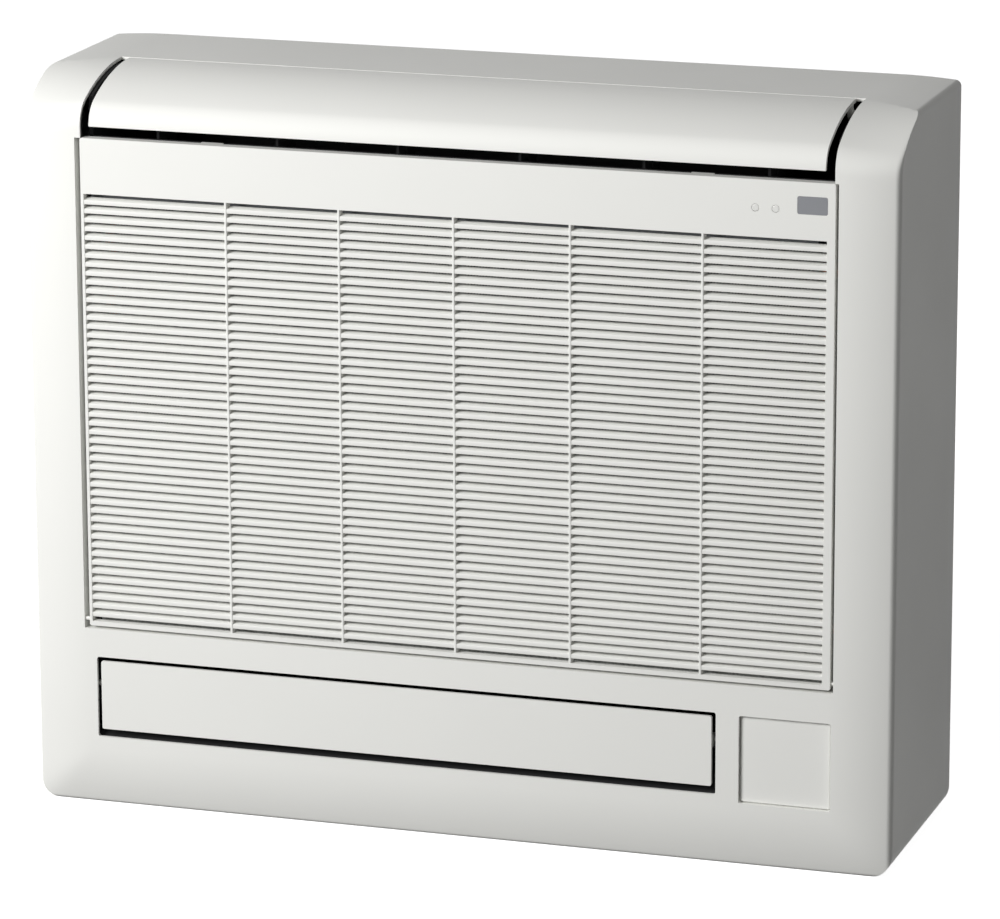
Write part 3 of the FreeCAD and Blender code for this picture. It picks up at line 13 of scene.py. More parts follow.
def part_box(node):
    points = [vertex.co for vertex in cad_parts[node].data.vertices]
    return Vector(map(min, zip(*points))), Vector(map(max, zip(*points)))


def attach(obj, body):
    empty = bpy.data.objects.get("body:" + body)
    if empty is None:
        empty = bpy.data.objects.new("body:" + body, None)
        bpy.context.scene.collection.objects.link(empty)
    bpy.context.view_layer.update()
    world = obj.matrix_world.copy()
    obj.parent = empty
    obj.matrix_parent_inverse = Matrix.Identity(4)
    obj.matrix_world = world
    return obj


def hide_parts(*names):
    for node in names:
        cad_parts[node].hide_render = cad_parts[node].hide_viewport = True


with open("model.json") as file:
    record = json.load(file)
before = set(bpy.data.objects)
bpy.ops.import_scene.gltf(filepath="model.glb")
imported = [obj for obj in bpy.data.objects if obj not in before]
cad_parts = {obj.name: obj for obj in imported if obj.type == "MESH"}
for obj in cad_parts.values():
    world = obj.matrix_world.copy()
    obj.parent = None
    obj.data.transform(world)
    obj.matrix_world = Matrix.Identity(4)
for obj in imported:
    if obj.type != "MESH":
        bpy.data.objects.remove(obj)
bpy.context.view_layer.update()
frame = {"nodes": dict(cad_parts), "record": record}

log = logging.getLogger("floor_console")
Point = tuple[float, float]
Place = tuple[float, float, float]
MM = 0.001
QUARTER = math.pi / 2
# How far a cutting tool reaches past what it cuts
PAST = 5 * MM
# Points closer than this are one point
WELD = 0.001 * MM
# Edges that bend this many degrees more than the least rounded edge keep a sharp shade
SHARP_MARGIN = 15.0
# How strongly large faces draw the shading to their own plane
FLAT_WEIGHT = 100
# The sRGB curve: a straight foot, then a power
SRGB_KNEE, SRGB_SLOPE, SRGB_OFFSET, SRGB_POWER = 0.04045, 12.92, 0.055, 2.4
# Colour sockets of a Mix node, whose names are shared by its other kinds
MIX_FACTOR, MIX_FIRST, MIX_SECOND, MIX_RESULT = 0, 6, 7, 2


class Plane(Enum):
    """The plane an outline is drawn on, with the axes of its across, up and drawn-out directions."""

    SIDE = (1, 2, 0)
    PLAN = (0, 1, 2)
    FRONT = (0, 2, 1)


class Join(Enum):
    """How one solid works on another."""

    UNION = "UNION"
    DIFFERENCE = "DIFFERENCE"
    INTERSECT = "INTERSECT"


def linear(code: str) -> tuple[float, float, float, float]:
    """Turn an sRGB hex colour into linear values.

    Args:
        code: The colour, such as "#f2f2ee".

    Returns:
        Red, green, blue and full alpha.
    """
    parts = [part / 255 for part in bytes.fromhex(code[1:])]
    red, green, blue = (part / SRGB_SLOPE if part <= SRGB_KNEE
                        else ((part + SRGB_OFFSET) / (1 + SRGB_OFFSET)) ** SRGB_POWER for part in parts)
    return red, green, blue, 1.0


def add_node(tree: bpy.types.NodeTree, kind: str, feeds: dict[Any, Any] | None = None,
             **settings: Any) -> bpy.types.Node:
    """Add a node to a tree, set its properties and feed its inputs.

    Args:
        tree: The tree that gets the node.
        kind: The node's type.
        feeds: By input name or index, an output socket to link or a value to set.
        settings: Properties of the node.

    Returns:
        The new node.
    """
    node = tree.nodes.new(kind)
    for name, value in settings.items():
        setattr(node, name, value)
    for name, value in (feeds or {}).items():
        if isinstance(value, bpy.types.NodeSocket):
            tree.links.new(value, node.inputs[name])
        else:
            node.inputs[name].default_value = value
    return node


def arc(centre: Point, radius: float, start: float, end: float, steps: int) -> list[Point]:
    """Points on an arc, its two ends among them.

    Args:
        centre: The arc's centre.
        radius: Its radius.
        start: The angle of its first point, in radians.
        end: The angle of its last point, in radians.
        steps: The number of chords.

    Returns:
        The points in order.
    """
    angles = [start + (end - start) * step / steps for step in range(steps + 1)]
    return [(centre[0] + radius * math.cos(a), centre[1] + radius * math.sin(a)) for a in angles]


def rounded_rectangle(low: Point, high: Point, radius: float, steps: int = 6) -> list[Point]:
    """The outline of a rectangle with round corners.

    Args:
        low: Its lower left corner.
        high: Its upper right corner.
        radius: The corners' radius.
        steps: Chords in each corner.

    Returns:
        The points, anticlockwise.
    """
    centres = [(high[0] - radius, low[1] + radius), (high[0] - radius, high[1] - radius),
               (low[0] + radius, high[1] - radius), (low[0] + radius, low[1] + radius)]
    points: list[Point] = []
    for turn, centre in enumerate(centres):
        points += arc(centre, radius, (turn - 1) * QUARTER, turn * QUARTER, steps)
    return points


def new_object(name: str, mesh: bpy.types.Mesh) -> bpy.types.Object:
    """Put a mesh into the scene, at the origin.

    Args:
        name: The object's name.
        mesh: Its mesh.

    Returns:
        The object.
    """
    item = bpy.data.objects.new(name, mesh)
    bpy.context.scene.collection.objects.link(item)
    return item


def from_bmesh(name: str, form: bmesh.types.BMesh) -> bpy.types.Object:
    """Turn a bmesh into an object, with its faces pointing outwards.

    Args:
        name: The object's name.
        form: The bmesh, which is freed.

    Returns:
        The object.
    """
    bmesh.ops.remove_doubles(form, verts=form.verts, dist=WELD)
    bmesh.ops.recalc_face_normals(form, faces=form.faces)
    mesh = bpy.data.meshes.new(name)
    form.to_mesh(mesh)
    form.free()
    return new_object(name, mesh)


def loft(name: str, plane: Plane, sections: list[tuple[float, list[Point]]]) -> bpy.types.Object:
    """Draw a solid through outlines that have the same number of points.

    Args:
        name: The object's name.
        plane: The plane of the outlines.
        sections: Each outline's level on the third axis and its points, in metres.

    Returns:
        The solid.
    """
    form = bmesh.new()
    across, up, out = plane.value
    rings = []
    for level, outline in sections:
        ring = []
        for point in outline:
            place = [0.0, 0.0, 0.0]
            place[across], place[up], place[out] = point[0], point[1], level
            ring.append(form.verts.new(place))
        rings.append(ring)
    form.faces.new(rings[0])
    form.faces.new(rings[-1])
    for ring, following in zip(rings, rings[1:]):
        for index in range(len(ring)):
            after = (index + 1) % len(ring)
            form.faces.new((ring[index], ring[after], following[after], following[index]))
    return from_bmesh(name, form)


def prism(name: str, plane: Plane, outline: list[Point], start: float, end: float) -> bpy.types.Object:
    """Draw an outline out into a solid.

    Args:
        name: The object's name.
        plane: The plane of the outline.
        outline: Its points in metres.
        start: Where the solid begins on the third axis.
        end: Where it ends.

    Returns:
        The solid.
    """
    return loft(name, plane, [(start, outline), (end, outline)])


def box_face(node: str, corner: float) -> list[Point]:
    """The front outline of a node's box, with round corners.

    Args:
        node: The node.
        corner: The corners' radius.

    Returns:
        The points on the front plane.
    """
    low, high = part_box(node)
    return rounded_rectangle((low.x, low.z), (high.x, high.z), corner)


def block(name: str, low: Place, high: Place) -> bpy.types.Object:
    """A plain solid between two corners, as a tool for other solids.

    Args:
        name: The object's name.
        low: Its lowest corner.
        high: Its highest corner.

    Returns:
        The solid.
    """
    corners = [(low[0], low[1]), (high[0], low[1]), (high[0], high[1]), (low[0], high[1])]
    return prism(name, Plane.PLAN, corners, low[2], high[2])


def rod(name: str, plane: Plane, centre: Point, radius: float, start: float, end: float,
        steps: int = 24) -> bpy.types.Object:
    """A round bar drawn out from a circle on a plane.

    Args:
        name: The object's name.
        plane: The plane of the circle.
        centre: Its centre.
        radius: Its radius.
        start: Where the bar begins on the third axis.
        end: Where it ends.
        steps: Chords in the circle.

    Returns:
        The bar.
    """
    circle = arc(centre, radius, 0.0, 2 * math.pi, steps)[:-1]
    return prism(name, plane, circle, start, end)


def settle(item: bpy.types.Object) -> bpy.types.Object:
    """Turn an object with modifiers into one with a plain mesh.

    Args:
        item: The object.

    Returns:
        The same object, with its modifiers worked in.
    """
    graph = bpy.context.evaluated_depsgraph_get()
    graph.update()
    mesh = bpy.data.meshes.new_from_object(item.evaluated_get(graph), depsgraph=graph)
    item.modifiers.clear()
    before = item.data
    item.data = mesh
    mesh.name = item.name
    bpy.data.meshes.remove(before)
    return item


def combine(base: bpy.types.Object, join: Join, *tools: bpy.types.Object) -> bpy.types.Object:
    """Work solids on a base one after another and delete them.

    Args:
        base: The solid that is changed.
        join: What the tools do to it.
        tools: The solids that are used up.

    Returns:
        The base.
    """
    for tool in tools:
        step = base.modifiers.new(tool.name, "BOOLEAN")
        step.operation = join.value
        step.solver = "EXACT"
        step.object = tool
    settle(base)
    for tool in tools:
        mesh = tool.data
        bpy.data.objects.remove(tool)
        bpy.data.meshes.remove(mesh)
    return base


def soften(item: bpy.types.Object, width: float, angle: float = 30.0,
           segments: int = 3) -> bpy.types.Object:
    """Round the sharp edges of a moulding and shade the rest smooth.

    Args:
        item: The object.
        width: The edges' set-back in metres.
        angle: The least bend, in degrees, that counts as an edge.
        segments: Steps across each edge.

    Returns:
        The object with a plain mesh.
    """
    bevel = item.modifiers.new("edge", "BEVEL")
    bevel.width = width
    bevel.segments = segments
    bevel.limit_method = "ANGLE"
    bevel.angle_limit = math.radians(angle)
    bevel.use_clamp_overlap = True
    settle(item)
    item.data.shade_smooth()
    item.data.set_sharp_from_angle(angle=math.radians(angle + SHARP_MARGIN))
    weigh = item.modifiers.new("flat", "WEIGHTED_NORMAL")
    weigh.keep_sharp = True
    weigh.weight = FLAT_WEIGHT
    return settle(item)


def dress(item: bpy.types.Object, body: str, slot: str, material: bpy.types.Material,
          *nodes: str) -> bpy.types.Object:
    """Give a finished piece its material, its body and the nodes it stands for.

    Args:
        item: The piece.
        body: The body it moves with.
        slot: The record's material slot; not used.
        material: Its finish.
        nodes: The nodes that it replaces.

    Returns:
        The piece.
    """
    item.data.materials.clear()
    item.data.materials.append(material)
    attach(item, body)
    if nodes:
        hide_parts(*nodes)
    log.info("%s: %d faces on %s", item.name, len(item.data.polygons), body)
    return item


def section_point(depth: float, height: float) -> Vector:
    """A point of a section that is drawn along X, where the path's own axes point to -Y and -Z.

    Args:
        depth: How far behind the path it lies.
        height: How far above the path.

    Returns:
        The point on the path's axes.
    """
    return Vector((-depth, -height, 0.0))


def new_tree(name: str, inputs: dict[str, str]) -> tuple[bpy.types.NodeTree, Any]:
    """Start a Geometry Nodes tree with named inputs.

    Args:
        name: The tree's name.
        inputs: The kind of each input by its name.

    Returns:
        The tree and the outputs of its input node.
    """
    tree = bpy.data.node_groups.new(name, "GeometryNodeTree")
    tree.interface.new_socket("Geometry", in_out="OUTPUT", socket_type="NodeSocketGeometry")
    for label, kind in inputs.items():
        tree.interface.new_socket(label, in_out="INPUT", socket_type=f"NodeSocket{kind}")
    return tree, add_node(tree, "NodeGroupInput").outputs


def end_tree(tree: bpy.types.NodeTree, copies: bpy.types.NodeSocket, finish: bpy.types.NodeSocket) -> None:
    """Close a tree: make its copies real and give them their material.

    Args:
        tree: The tree.
        copies: The instances or meshes it has made.
        finish: The input that holds the material.
    """
    solid = add_node(tree, "GeometryNodeRealizeInstances", {"Geometry": copies})
    dressed = add_node(tree, "GeometryNodeSetMaterial", {
        "Geometry": solid.outputs["Geometry"], "Material": finish})
    add_node(tree, "NodeGroupOutput", {"Geometry": dressed.outputs["Geometry"]})


def grow(name: str, tree: bpy.types.NodeTree, values: dict[str, Any],
         spots: list[Vector] | None = None) -> bpy.types.Object:
    """Run a Geometry Nodes tree and keep what it makes as a plain mesh.

    Args:
        name: The new object's name.
        tree: The tree.
        values: The tree's inputs by name.
        spots: The points that a tree with a geometry input starts from.

    Returns:
        The object.
    """
    mesh = bpy.data.meshes.new(name)
    mesh.from_pydata(spots or [], [], [])
    item = new_object(name, mesh)
    modifier = item.modifiers.new(name, "NODES")
    modifier.node_group = tree
    for port in tree.interface.items_tree:
        if port.in_out == "INPUT" and port.socket_type != "NodeSocketGeometry":
            modifier[port.identifier] = values[port.name]
    return settle(item)


# Finishes

@dataclass(frozen=True)
class Skin:
    """A material in the making: its tree, its shader and the coordinates that its patterns read."""

    tree: bpy.types.NodeTree
    shader: bpy.types.Node
    place: bpy.types.NodeSocket

    def blend(self, mask: bpy.types.NodeSocket, colour: str, other: str) -> None:
        """Blend one colour towards another.

        Args:
            mask: Zero where the colour stays, one where the other shows.
            colour: The colour.
            other: The other colour.
        """
        mix = add_node(self.tree, "ShaderNodeMix", {
            MIX_FACTOR: mask, MIX_FIRST: linear(colour), MIX_SECOND: linear(other)}, data_type="RGBA")
        self.tree.links.new(mix.outputs[MIX_RESULT], self.shader.inputs["Base Color"])

    def roughen(self, mask: bpy.types.NodeSocket, least: float, most: float) -> None:
        """Let the roughness follow a pattern.

        Args:
            mask: The pattern, from zero to one.
            least: The roughness at zero.
            most: The roughness at one.
        """
        rough = add_node(self.tree, "ShaderNodeMapRange", {"Value": mask, "To Min": least, "To Max": most})
        self.tree.links.new(rough.outputs["Result"], self.shader.inputs["Roughness"])

    def emboss(self, height: bpy.types.NodeSocket, depth: float) -> None:
        """Tilt the surface by a height pattern.

        Args:
            height: The pattern.
            depth: Its depth in metres.
        """
        bump = add_node(self.tree, "ShaderNodeBump", {"Height": height, "Distance": depth, "Strength": 1.0})
        self.tree.links.new(bump.outputs["Normal"], self.shader.inputs["Normal"])


@dataclass(frozen=True)
class Finish:
    """What every finish has: a name, a colour, and how the surface takes light."""

    name: str
    colour: str
    roughness: float
    metallic: float = 0.0
    ior: float = 1.5
    gloss: float = 0.5

    def material(self) -> bpy.types.Material:
        """Make the material once, and give the same one again after that.

        Returns:
            The material.
        """
        found = bpy.data.materials.get(self.name)
        if found:
            return found
        made = bpy.data.materials.new(self.name)
        made.use_nodes = True
        tree = made.node_tree
        shader = tree.nodes["Principled BSDF"]
        shader.inputs["Base Color"].default_value = linear(self.colour)
        shader.inputs["Roughness"].default_value = self.roughness
        shader.inputs["Metallic"].default_value = self.metallic
        if not self.metallic:
            shader.inputs["IOR"].default_value = self.ior
            shader.inputs["Specular IOR Level"].default_value = self.gloss
        self.pattern(Skin(tree, shader, add_node(tree, "ShaderNodeTexCoord").outputs["Object"]))
        made.diffuse_color = linear(self.colour)
        return made

    def pattern(self, skin: Skin) -> None:
        """Add the surface's own pattern; the plain finish has none."""


@dataclass(frozen=True)
class MouldedPlastic(Finish):
    """Injection-moulded plastic: an even satin skin with the grain of the etched mould.

    The real grain, about 0.2 mm wide, is too fine to show in the render, so it is drawn coarser.
    """

    grain: float = 0.9 * MM
    grain_detail: float = 2.0
    depth: float = 0.008 * MM
    cloud: float = 90 * MM
    cloud_detail: float = 3.0
    unevenness: float = 0.04
    shade: str = "#eeeeea"

    def pattern(self, skin: Skin) -> None:
        """Add the grain and the faint clouding of the flow in the mould.

        Args:
            skin: The material in the making.
        """
        grain = add_node(skin.tree, "ShaderNodeTexNoise", {
            "Vector": skin.place, "Scale": 1 / self.grain, "Detail": self.grain_detail})
        skin.emboss(grain.outputs["Fac"], self.depth)
        cloud = add_node(skin.tree, "ShaderNodeTexNoise", {
            "Vector": skin.place, "Scale": 1 / self.cloud, "Detail": self.cloud_detail})
        skin.blend(cloud.outputs["Fac"], self.colour, self.shade)
        skin.roughen(cloud.outputs["Fac"],
                     self.roughness - self.unevenness, self.roughness + self.unevenness)


@dataclass(frozen=True)
class GalvanisedSteel(Finish):
    """Hot-dipped sheet steel: dull grey with the crystals of the zinc, some lighter than others."""

    crystal: float = 9 * MM
    unevenness: float = 0.1
    shade: str = "#8f9499"

    def pattern(self, skin: Skin) -> None:
        """Add the zinc crystals.

        Args:
            skin: The material in the making.
        """
        flakes = add_node(skin.tree, "ShaderNodeTexVoronoi", {
            "Vector": skin.place, "Scale": 1 / self.crystal})
        tone = add_node(skin.tree, "ShaderNodeRGBToBW", {"Color": flakes.outputs["Color"]})
        skin.blend(tone.outputs["Val"], self.colour, self.shade)
        skin.roughen(tone.outputs["Val"],
                     self.roughness - self.unevenness, self.roughness + self.unevenness)


@dataclass(frozen=True)
class DrawnMetal(Finish):
    """Rolled or drawn metal: fine lines along the way it was pulled and a slight tarnish in patches."""

    line: float = 0.8 * MM
    line_detail: float = 2.0
    stretch: Place = (0.02, 1.0, 1.0)
    smoother: float = 0.08
    duller: float = 0.12
    tarnish: str = "#8a5a3c"
    patch: float = 25 * MM
    patch_detail: float = 4.0
    patch_start: float = 0.45
    patch_full: float = 0.8
    patch_strength: float = 0.5

    def pattern(self, skin: Skin) -> None:
        """Add the drawing lines and the tarnish.

        Args:
            skin: The material in the making.
        """
        along = add_node(skin.tree, "ShaderNodeMapping", {"Vector": skin.place, "Scale": self.stretch})
        lines = add_node(skin.tree, "ShaderNodeTexNoise", {
            "Vector": along.outputs["Vector"], "Scale": 1 / self.line, "Detail": self.line_detail})
        skin.roughen(lines.outputs["Fac"], self.roughness - self.smoother, self.roughness + self.duller)
        patch = add_node(skin.tree, "ShaderNodeTexNoise", {
            "Vector": skin.place, "Scale": 1 / self.patch, "Detail": self.patch_detail})
        mask = add_node(skin.tree, "ShaderNodeMapRange", {
            "Value": patch.outputs["Fac"], "From Min": self.patch_start, "From Max": self.patch_full,
            "To Max": self.patch_strength})
        skin.blend(mask.outputs["Result"], self.colour, self.tarnish)


@dataclass(frozen=True)
class BeadFoam(Finish):
    """Expanded polystyrene: dull, with the outlines of the pressed beads, whose grooves are darkened with
    painted shade.
    """

    bead: float = 4 * MM
    groove: float = 0.2
    depth: float = 0.3 * MM
    # Colour of the bead faces; the grooves keep the darker base colour as painted shade
    shade: str = "#c9cbc8"

    def pattern(self, skin: Skin) -> None:
        """Add the beads: their grooves as relief, with painted shade that darkens the grooves.

        Args:
            skin: The material in the making.
        """
        beads = add_node(skin.tree, "ShaderNodeTexVoronoi", {"Vector": skin.place, "Scale": 1 / self.bead},
                         feature="DISTANCE_TO_EDGE")
        bead_height_and_shade_mask = add_node(skin.tree, "ShaderNodeMapRange", {
            "Value": beads.outputs["Distance"], "From Max": self.groove})
        skin.emboss(bead_height_and_shade_mask.outputs["Result"], self.depth)
        # Painted shade: the grooves between the beads are coloured darker than the bead faces
        skin.blend(bead_height_and_shade_mask.outputs["Result"], self.colour, self.shade)


@dataclass(frozen=True)
class CircuitBoard(Finish):
    """Lacquered glass-fibre board: glossy green over copper tracks that show paler."""

    track: float = 2.5 * MM
    spread: float = 0.45
    shade: str = "#2f7d4a"

    def pattern(self, skin: Skin) -> None:
        """Add the tracks.

        Args:
            skin: The material in the making.
        """
        cells = add_node(skin.tree, "ShaderNodeTexVoronoi", {"Vector": skin.place, "Scale": 1 / self.track},
                         distance="MANHATTAN")
        mask = add_node(skin.tree, "ShaderNodeMath", {0: cells.outputs["Distance"], 1: self.spread},
                        operation="GREATER_THAN")
        skin.blend(mask.outputs["Value"], self.colour, self.shade)


@dataclass(frozen=True)
class TintedClear(Finish):
    """Polished clear plastic: sharp highlights, with the light going through to what lies behind."""

    passing: float = 0.5
    film: float = 30 * MM
    film_detail: float = 3.0
    film_dulling: float = 0.1

    def pattern(self, skin: Skin) -> None:
        """Let light through and add a faint film of handling.

        Args:
            skin: The material in the making.
        """
        skin.shader.inputs["Transmission Weight"].default_value = self.passing
        film = add_node(skin.tree, "ShaderNodeTexNoise", {
            "Vector": skin.place, "Scale": 1 / self.film, "Detail": self.film_detail})
        skin.roughen(film.outputs["Fac"], self.roughness, self.roughness + self.film_dulling)


# White ABS of the casing, panel and flaps, from an etched tool: an even white with hardly any mirror gloss
WHITE_ABS = MouldedPlastic("moulded_white_abs", "#f1f1ed", 0.42, ior=1.53, gloss=0.05)
# Black ABS of the air ducts and the chassis: nearly no highlight, so that the openings read as dark
BLACK_ABS = MouldedPlastic("moulded_black_abs", "#101112", 0.85, ior=1.53, shade="#141517")
# Grey glass-filled styrene of the fans: harder and a little shinier than the casing
FAN_STYRENE = MouldedPlastic("glass_filled_grey_styrene", "#4a4d50", 0.4, ior=1.57, shade="#54575a")
# Polypropylene of the filters: waxy mid grey
FILTER_PP = MouldedPlastic("polypropylene_filter_grey", "#5b5e61", 0.5, ior=1.49, shade="#65686b")
# Natural rubber of the bushes: black and dull
BUSH_RUBBER = MouldedPlastic("moulded_black_rubber", "#151515", 0.75, ior=1.52, shade="#1b1b1b")
# Phenolic of the terminals: black with a hard gloss
TERMINAL_PHENOLIC = MouldedPlastic("phenolic_black", "#191a1c", 0.3, ior=1.6, shade="#222326")
# Pale grey ABS of the push button: an even satin, darker than the casing
BUTTON_ABS = MouldedPlastic("moulded_pale_grey_abs", "#b9bbbb", 0.4, ior=1.53, shade="#b2b4b4")
# Galvanised sheet of base pan, tube sheets and control box: dull grey, flaked with zinc crystals
ZINC_SHEET = GalvanisedSteel("galvanised_sheet_steel", "#a6abb0", 0.45, metallic=1.0)
# Zinc-dipped motor cans: brighter and smoother than the sheet, with smaller crystals
MOTOR_ZINC = GalvanisedSteel("zinc_dipped_motor_can", "#b4b8bb", 0.35, metallic=1.0, crystal=5 * MM)
# Rolled aluminium of the fins: pale, with fine lines and a dull film
FIN_ALUMINIUM = DrawnMetal("rolled_aluminium", "#c4c7c9", 0.35, metallic=1.0, tarnish="#aab0b2")
# Drawn copper of the tubes: warm, with brown tarnish in patches
TUBE_COPPER = DrawnMetal("drawn_copper", "#c77b58", 0.3, metallic=1.0)
# Turned steel of shafts and screws: bright, with fine turning lines
BRIGHT_STEEL = DrawnMetal("turned_bright_steel", "#c9cacb", 0.25, metallic=1.0, tarnish="#a2a4a6")
# Forged brass of the flare nuts: yellow, with darker patches from handling
NUT_BRASS = DrawnMetal("forged_brass", "#c8a45a", 0.32, metallic=1.0, tarnish="#8d7340")
# Polystyrene foam of the drain pan: dull grey with the seams of its beads, darkened with painted shade
DRAIN_FOAM = BeadFoam("expanded_polystyrene", "#b4b6b3", 0.85)
# Lacquered board of the controls: deep green with a wet gloss
BOARD_LACQUER = CircuitBoard("green_lacquered_board", "#1f5a36", 0.3)
# Smoked acrylic of the display window: a flat blue grey with a sharp highlight
SMOKED_ACRYLIC = TintedClear("smoked_acrylic", "#8d8f94", 0.12, ior=1.49, passing=0.15)
# Clear polycarbonate of the lamp lenses: pale domes with a small glint
CLEAR_LENS = TintedClear("clear_polycarbonate", "#ecece8", 0.2, ior=1.58, passing=0.1)


# Sub-assemblies

@dataclass
class CasingForm:
    """The casing's outside: a side view drawn along the corners of a plan, within a front view."""

    low: Vector
    high: Vector
    brow_depth: float = 92 * MM
    brow_drop: float = 39.5 * MM
    brow_radius: float = 22 * MM
    cap_drop: float = 58 * MM
    cap_radius: float = 40 * MM
    corner_width: float = 50 * MM
    corner_setback: float = 12 * MM
    corner_radius: float = 6 * MM
    shoulder_drop: float = 7 * MM
    shoulder_radius: float = 5 * MM
    foot_radius: float = 18 * MM
    foot_bend: float = 4 * MM
    toe_height: float = 48 * MM
    toe_setback: float = 7 * MM
    # The power of the soft meeting of corner and side view: a higher one is sharper
    blend: float = 3.0
    steps: int = 16
    bend_steps: int = 6

    @property
    def front(self) -> float:
        """The front plane."""
        return self.low.y

    @property
    def brow_end(self) -> float:
        """Where the brow meets the flat top."""
        return self.low.y + self.brow_depth

    @property
    def shoulder(self) -> float:
        """Where the flat front ends and the corners begin, on the right."""
        return self.high.x - self.corner_width

    def sweep(self, along: float, drop: float, edge: float, inset: float) -> list[Point]:
        """A gentle arc that ends in a tight one, as each corner of the casing has.

        Args:
            along: The corner's length.
            drop: How far it falls away.
            edge: The tight arc's radius.
            inset: How far inside the surface the points lie.

        Returns:
            Points of distance along and fall.
        """
        gentle = ((along - edge) ** 2 + drop ** 2 - edge ** 2) / (2 * (drop - edge))
        meet = math.atan2(along - edge, gentle - drop)
        start = arc((0.0, gentle), gentle - inset, -QUARTER, meet - QUARTER, self.steps)[:-1]
        end = arc((along - edge, drop), edge - inset, meet - QUARTER, 0.0, self.steps // 2)
        return [*start, *end]

    def brow(self, inset: float, cap: float = 0.0) -> list[Point]:
        """The brow's line in the side view, from the flat top to the front plane.

        Args:
            inset: How far inside the surface the line lies.
            cap: Zero along the flap, one at the casing's ends, where the brow is rounder.

        Returns:
            The points.
        """
        middle = self.sweep(self.brow_depth, self.brow_drop, self.brow_radius, inset)
        end = self.sweep(self.brow_depth, self.cap_drop, self.cap_radius, inset)
        points = []
        for (along, fall), (end_along, end_fall) in zip(middle, end):
            y = self.brow_end - along - (end_along - along) * cap
            z = self.high.z - fall - (end_fall - fall) * cap
            points.append((y, z))
        return points

    def side(self, inset: float, back: float, foot: float, cap: float) -> list[Point]:
        """The side view, set in by a wall.

        Args:
            inset: How far inside the outside it lies.
            back: Its rear plane.
            foot: Its lowest plane.
            cap: Zero along the flap, one at the casing's ends.

        Returns:
            The points.
        """
        toe = (self.toe_height ** 2 + self.toe_setback ** 2) / (2 * self.toe_setback)
        reach = toe - inset
        centre = (self.front + toe, self.toe_height)
        bend = 0.0 if inset else self.foot_bend
        swing = math.asin((self.toe_height - bend) / (reach - bend))
        line = arc(centre, reach, math.pi, math.pi + swing, self.steps)
        under = (centre[0] - (reach - bend) * math.cos(swing), bend)
        if bend:
            line += arc(under, bend, math.pi + swing, 3 * QUARTER, self.bend_steps)[1:]
        floor = foot - PAST
        rear = [(back, floor), (back, self.high.z - inset)]
        return [*rear, *self.brow(inset, cap), *line, (under[0], floor)]

    def behind(self, outline: list[Point], inset: float, back: float, fall: float) -> list[Point]:
        """Set a side view back to where a corner has fallen to, with a soft meeting of the two.

        Args:
            outline: The side view.
            inset: How far inside the outside it lies.
            back: Its rear plane, which stays.
            fall: How far the corner lies behind the front plane.

        Returns:
            The points.
        """
        start = self.front + inset
        corner = max(fall - inset, 0.0) ** self.blend
        points = []
        for y, z in outline:
            if y < back:
                y = start + (max(y - start, 0.0) ** self.blend + corner) ** (1 / self.blend)
            points.append((y, z))
        return points

    def face(self, inset: float, foot: float) -> list[Point]:
        """The front view, set in by a wall, with round corners at the foot.

        Args:
            inset: How far inside the outside it lies.
            foot: Its lowest plane.

        Returns:
            The points.
        """
        sweep = self.sweep(self.corner_width, self.shoulder_drop, self.shoulder_radius, inset)
        corner = self.high.x - self.foot_radius
        lip = [(corner - inset, foot), (corner - inset, inset)] if inset else []
        bend = arc((corner, self.foot_radius), self.foot_radius - inset, -QUARTER, 0.0, self.steps)
        top = [(self.shoulder + along, self.high.z - fall) for along, fall in reversed(sweep)]
        right = [*lip, *bend, *top]
        return [*right, *[(-x, z) for x, z in reversed(right)]]

    def solid(self, name: str, inset: float, back: float, foot: float) -> bpy.types.Object:
        """A side view drawn along the plan's corners, and cut to the front view.

        Args:
            name: The solid's name.
            inset: How far inside the outside it lies.
            back: Its rear plane.
            foot: Its lowest plane.

        Returns:
            The solid.
        """
        right = []
        for along, fall in self.sweep(self.corner_width, self.corner_setback, self.corner_radius, inset):
            outline = self.side(inset, back, foot, along / self.corner_width)
            right.append((self.shoulder + along, self.behind(outline, inset, back, fall)))
        left = [(-level, outline) for level, outline in reversed(right)]
        base = loft(name, Plane.SIDE, [*left, *right])
        face = prism("face", Plane.FRONT, self.face(inset, foot), self.front - PAST, back + PAST)
        return combine(base, Join.INTERSECT, face)


@dataclass(frozen=True)
class PanelFace:
    """The inlet panel's front, which the casing's bay goes round."""

    half: float = 308 * MM
    bottom: float = 151 * MM
    top: float = 551 * MM


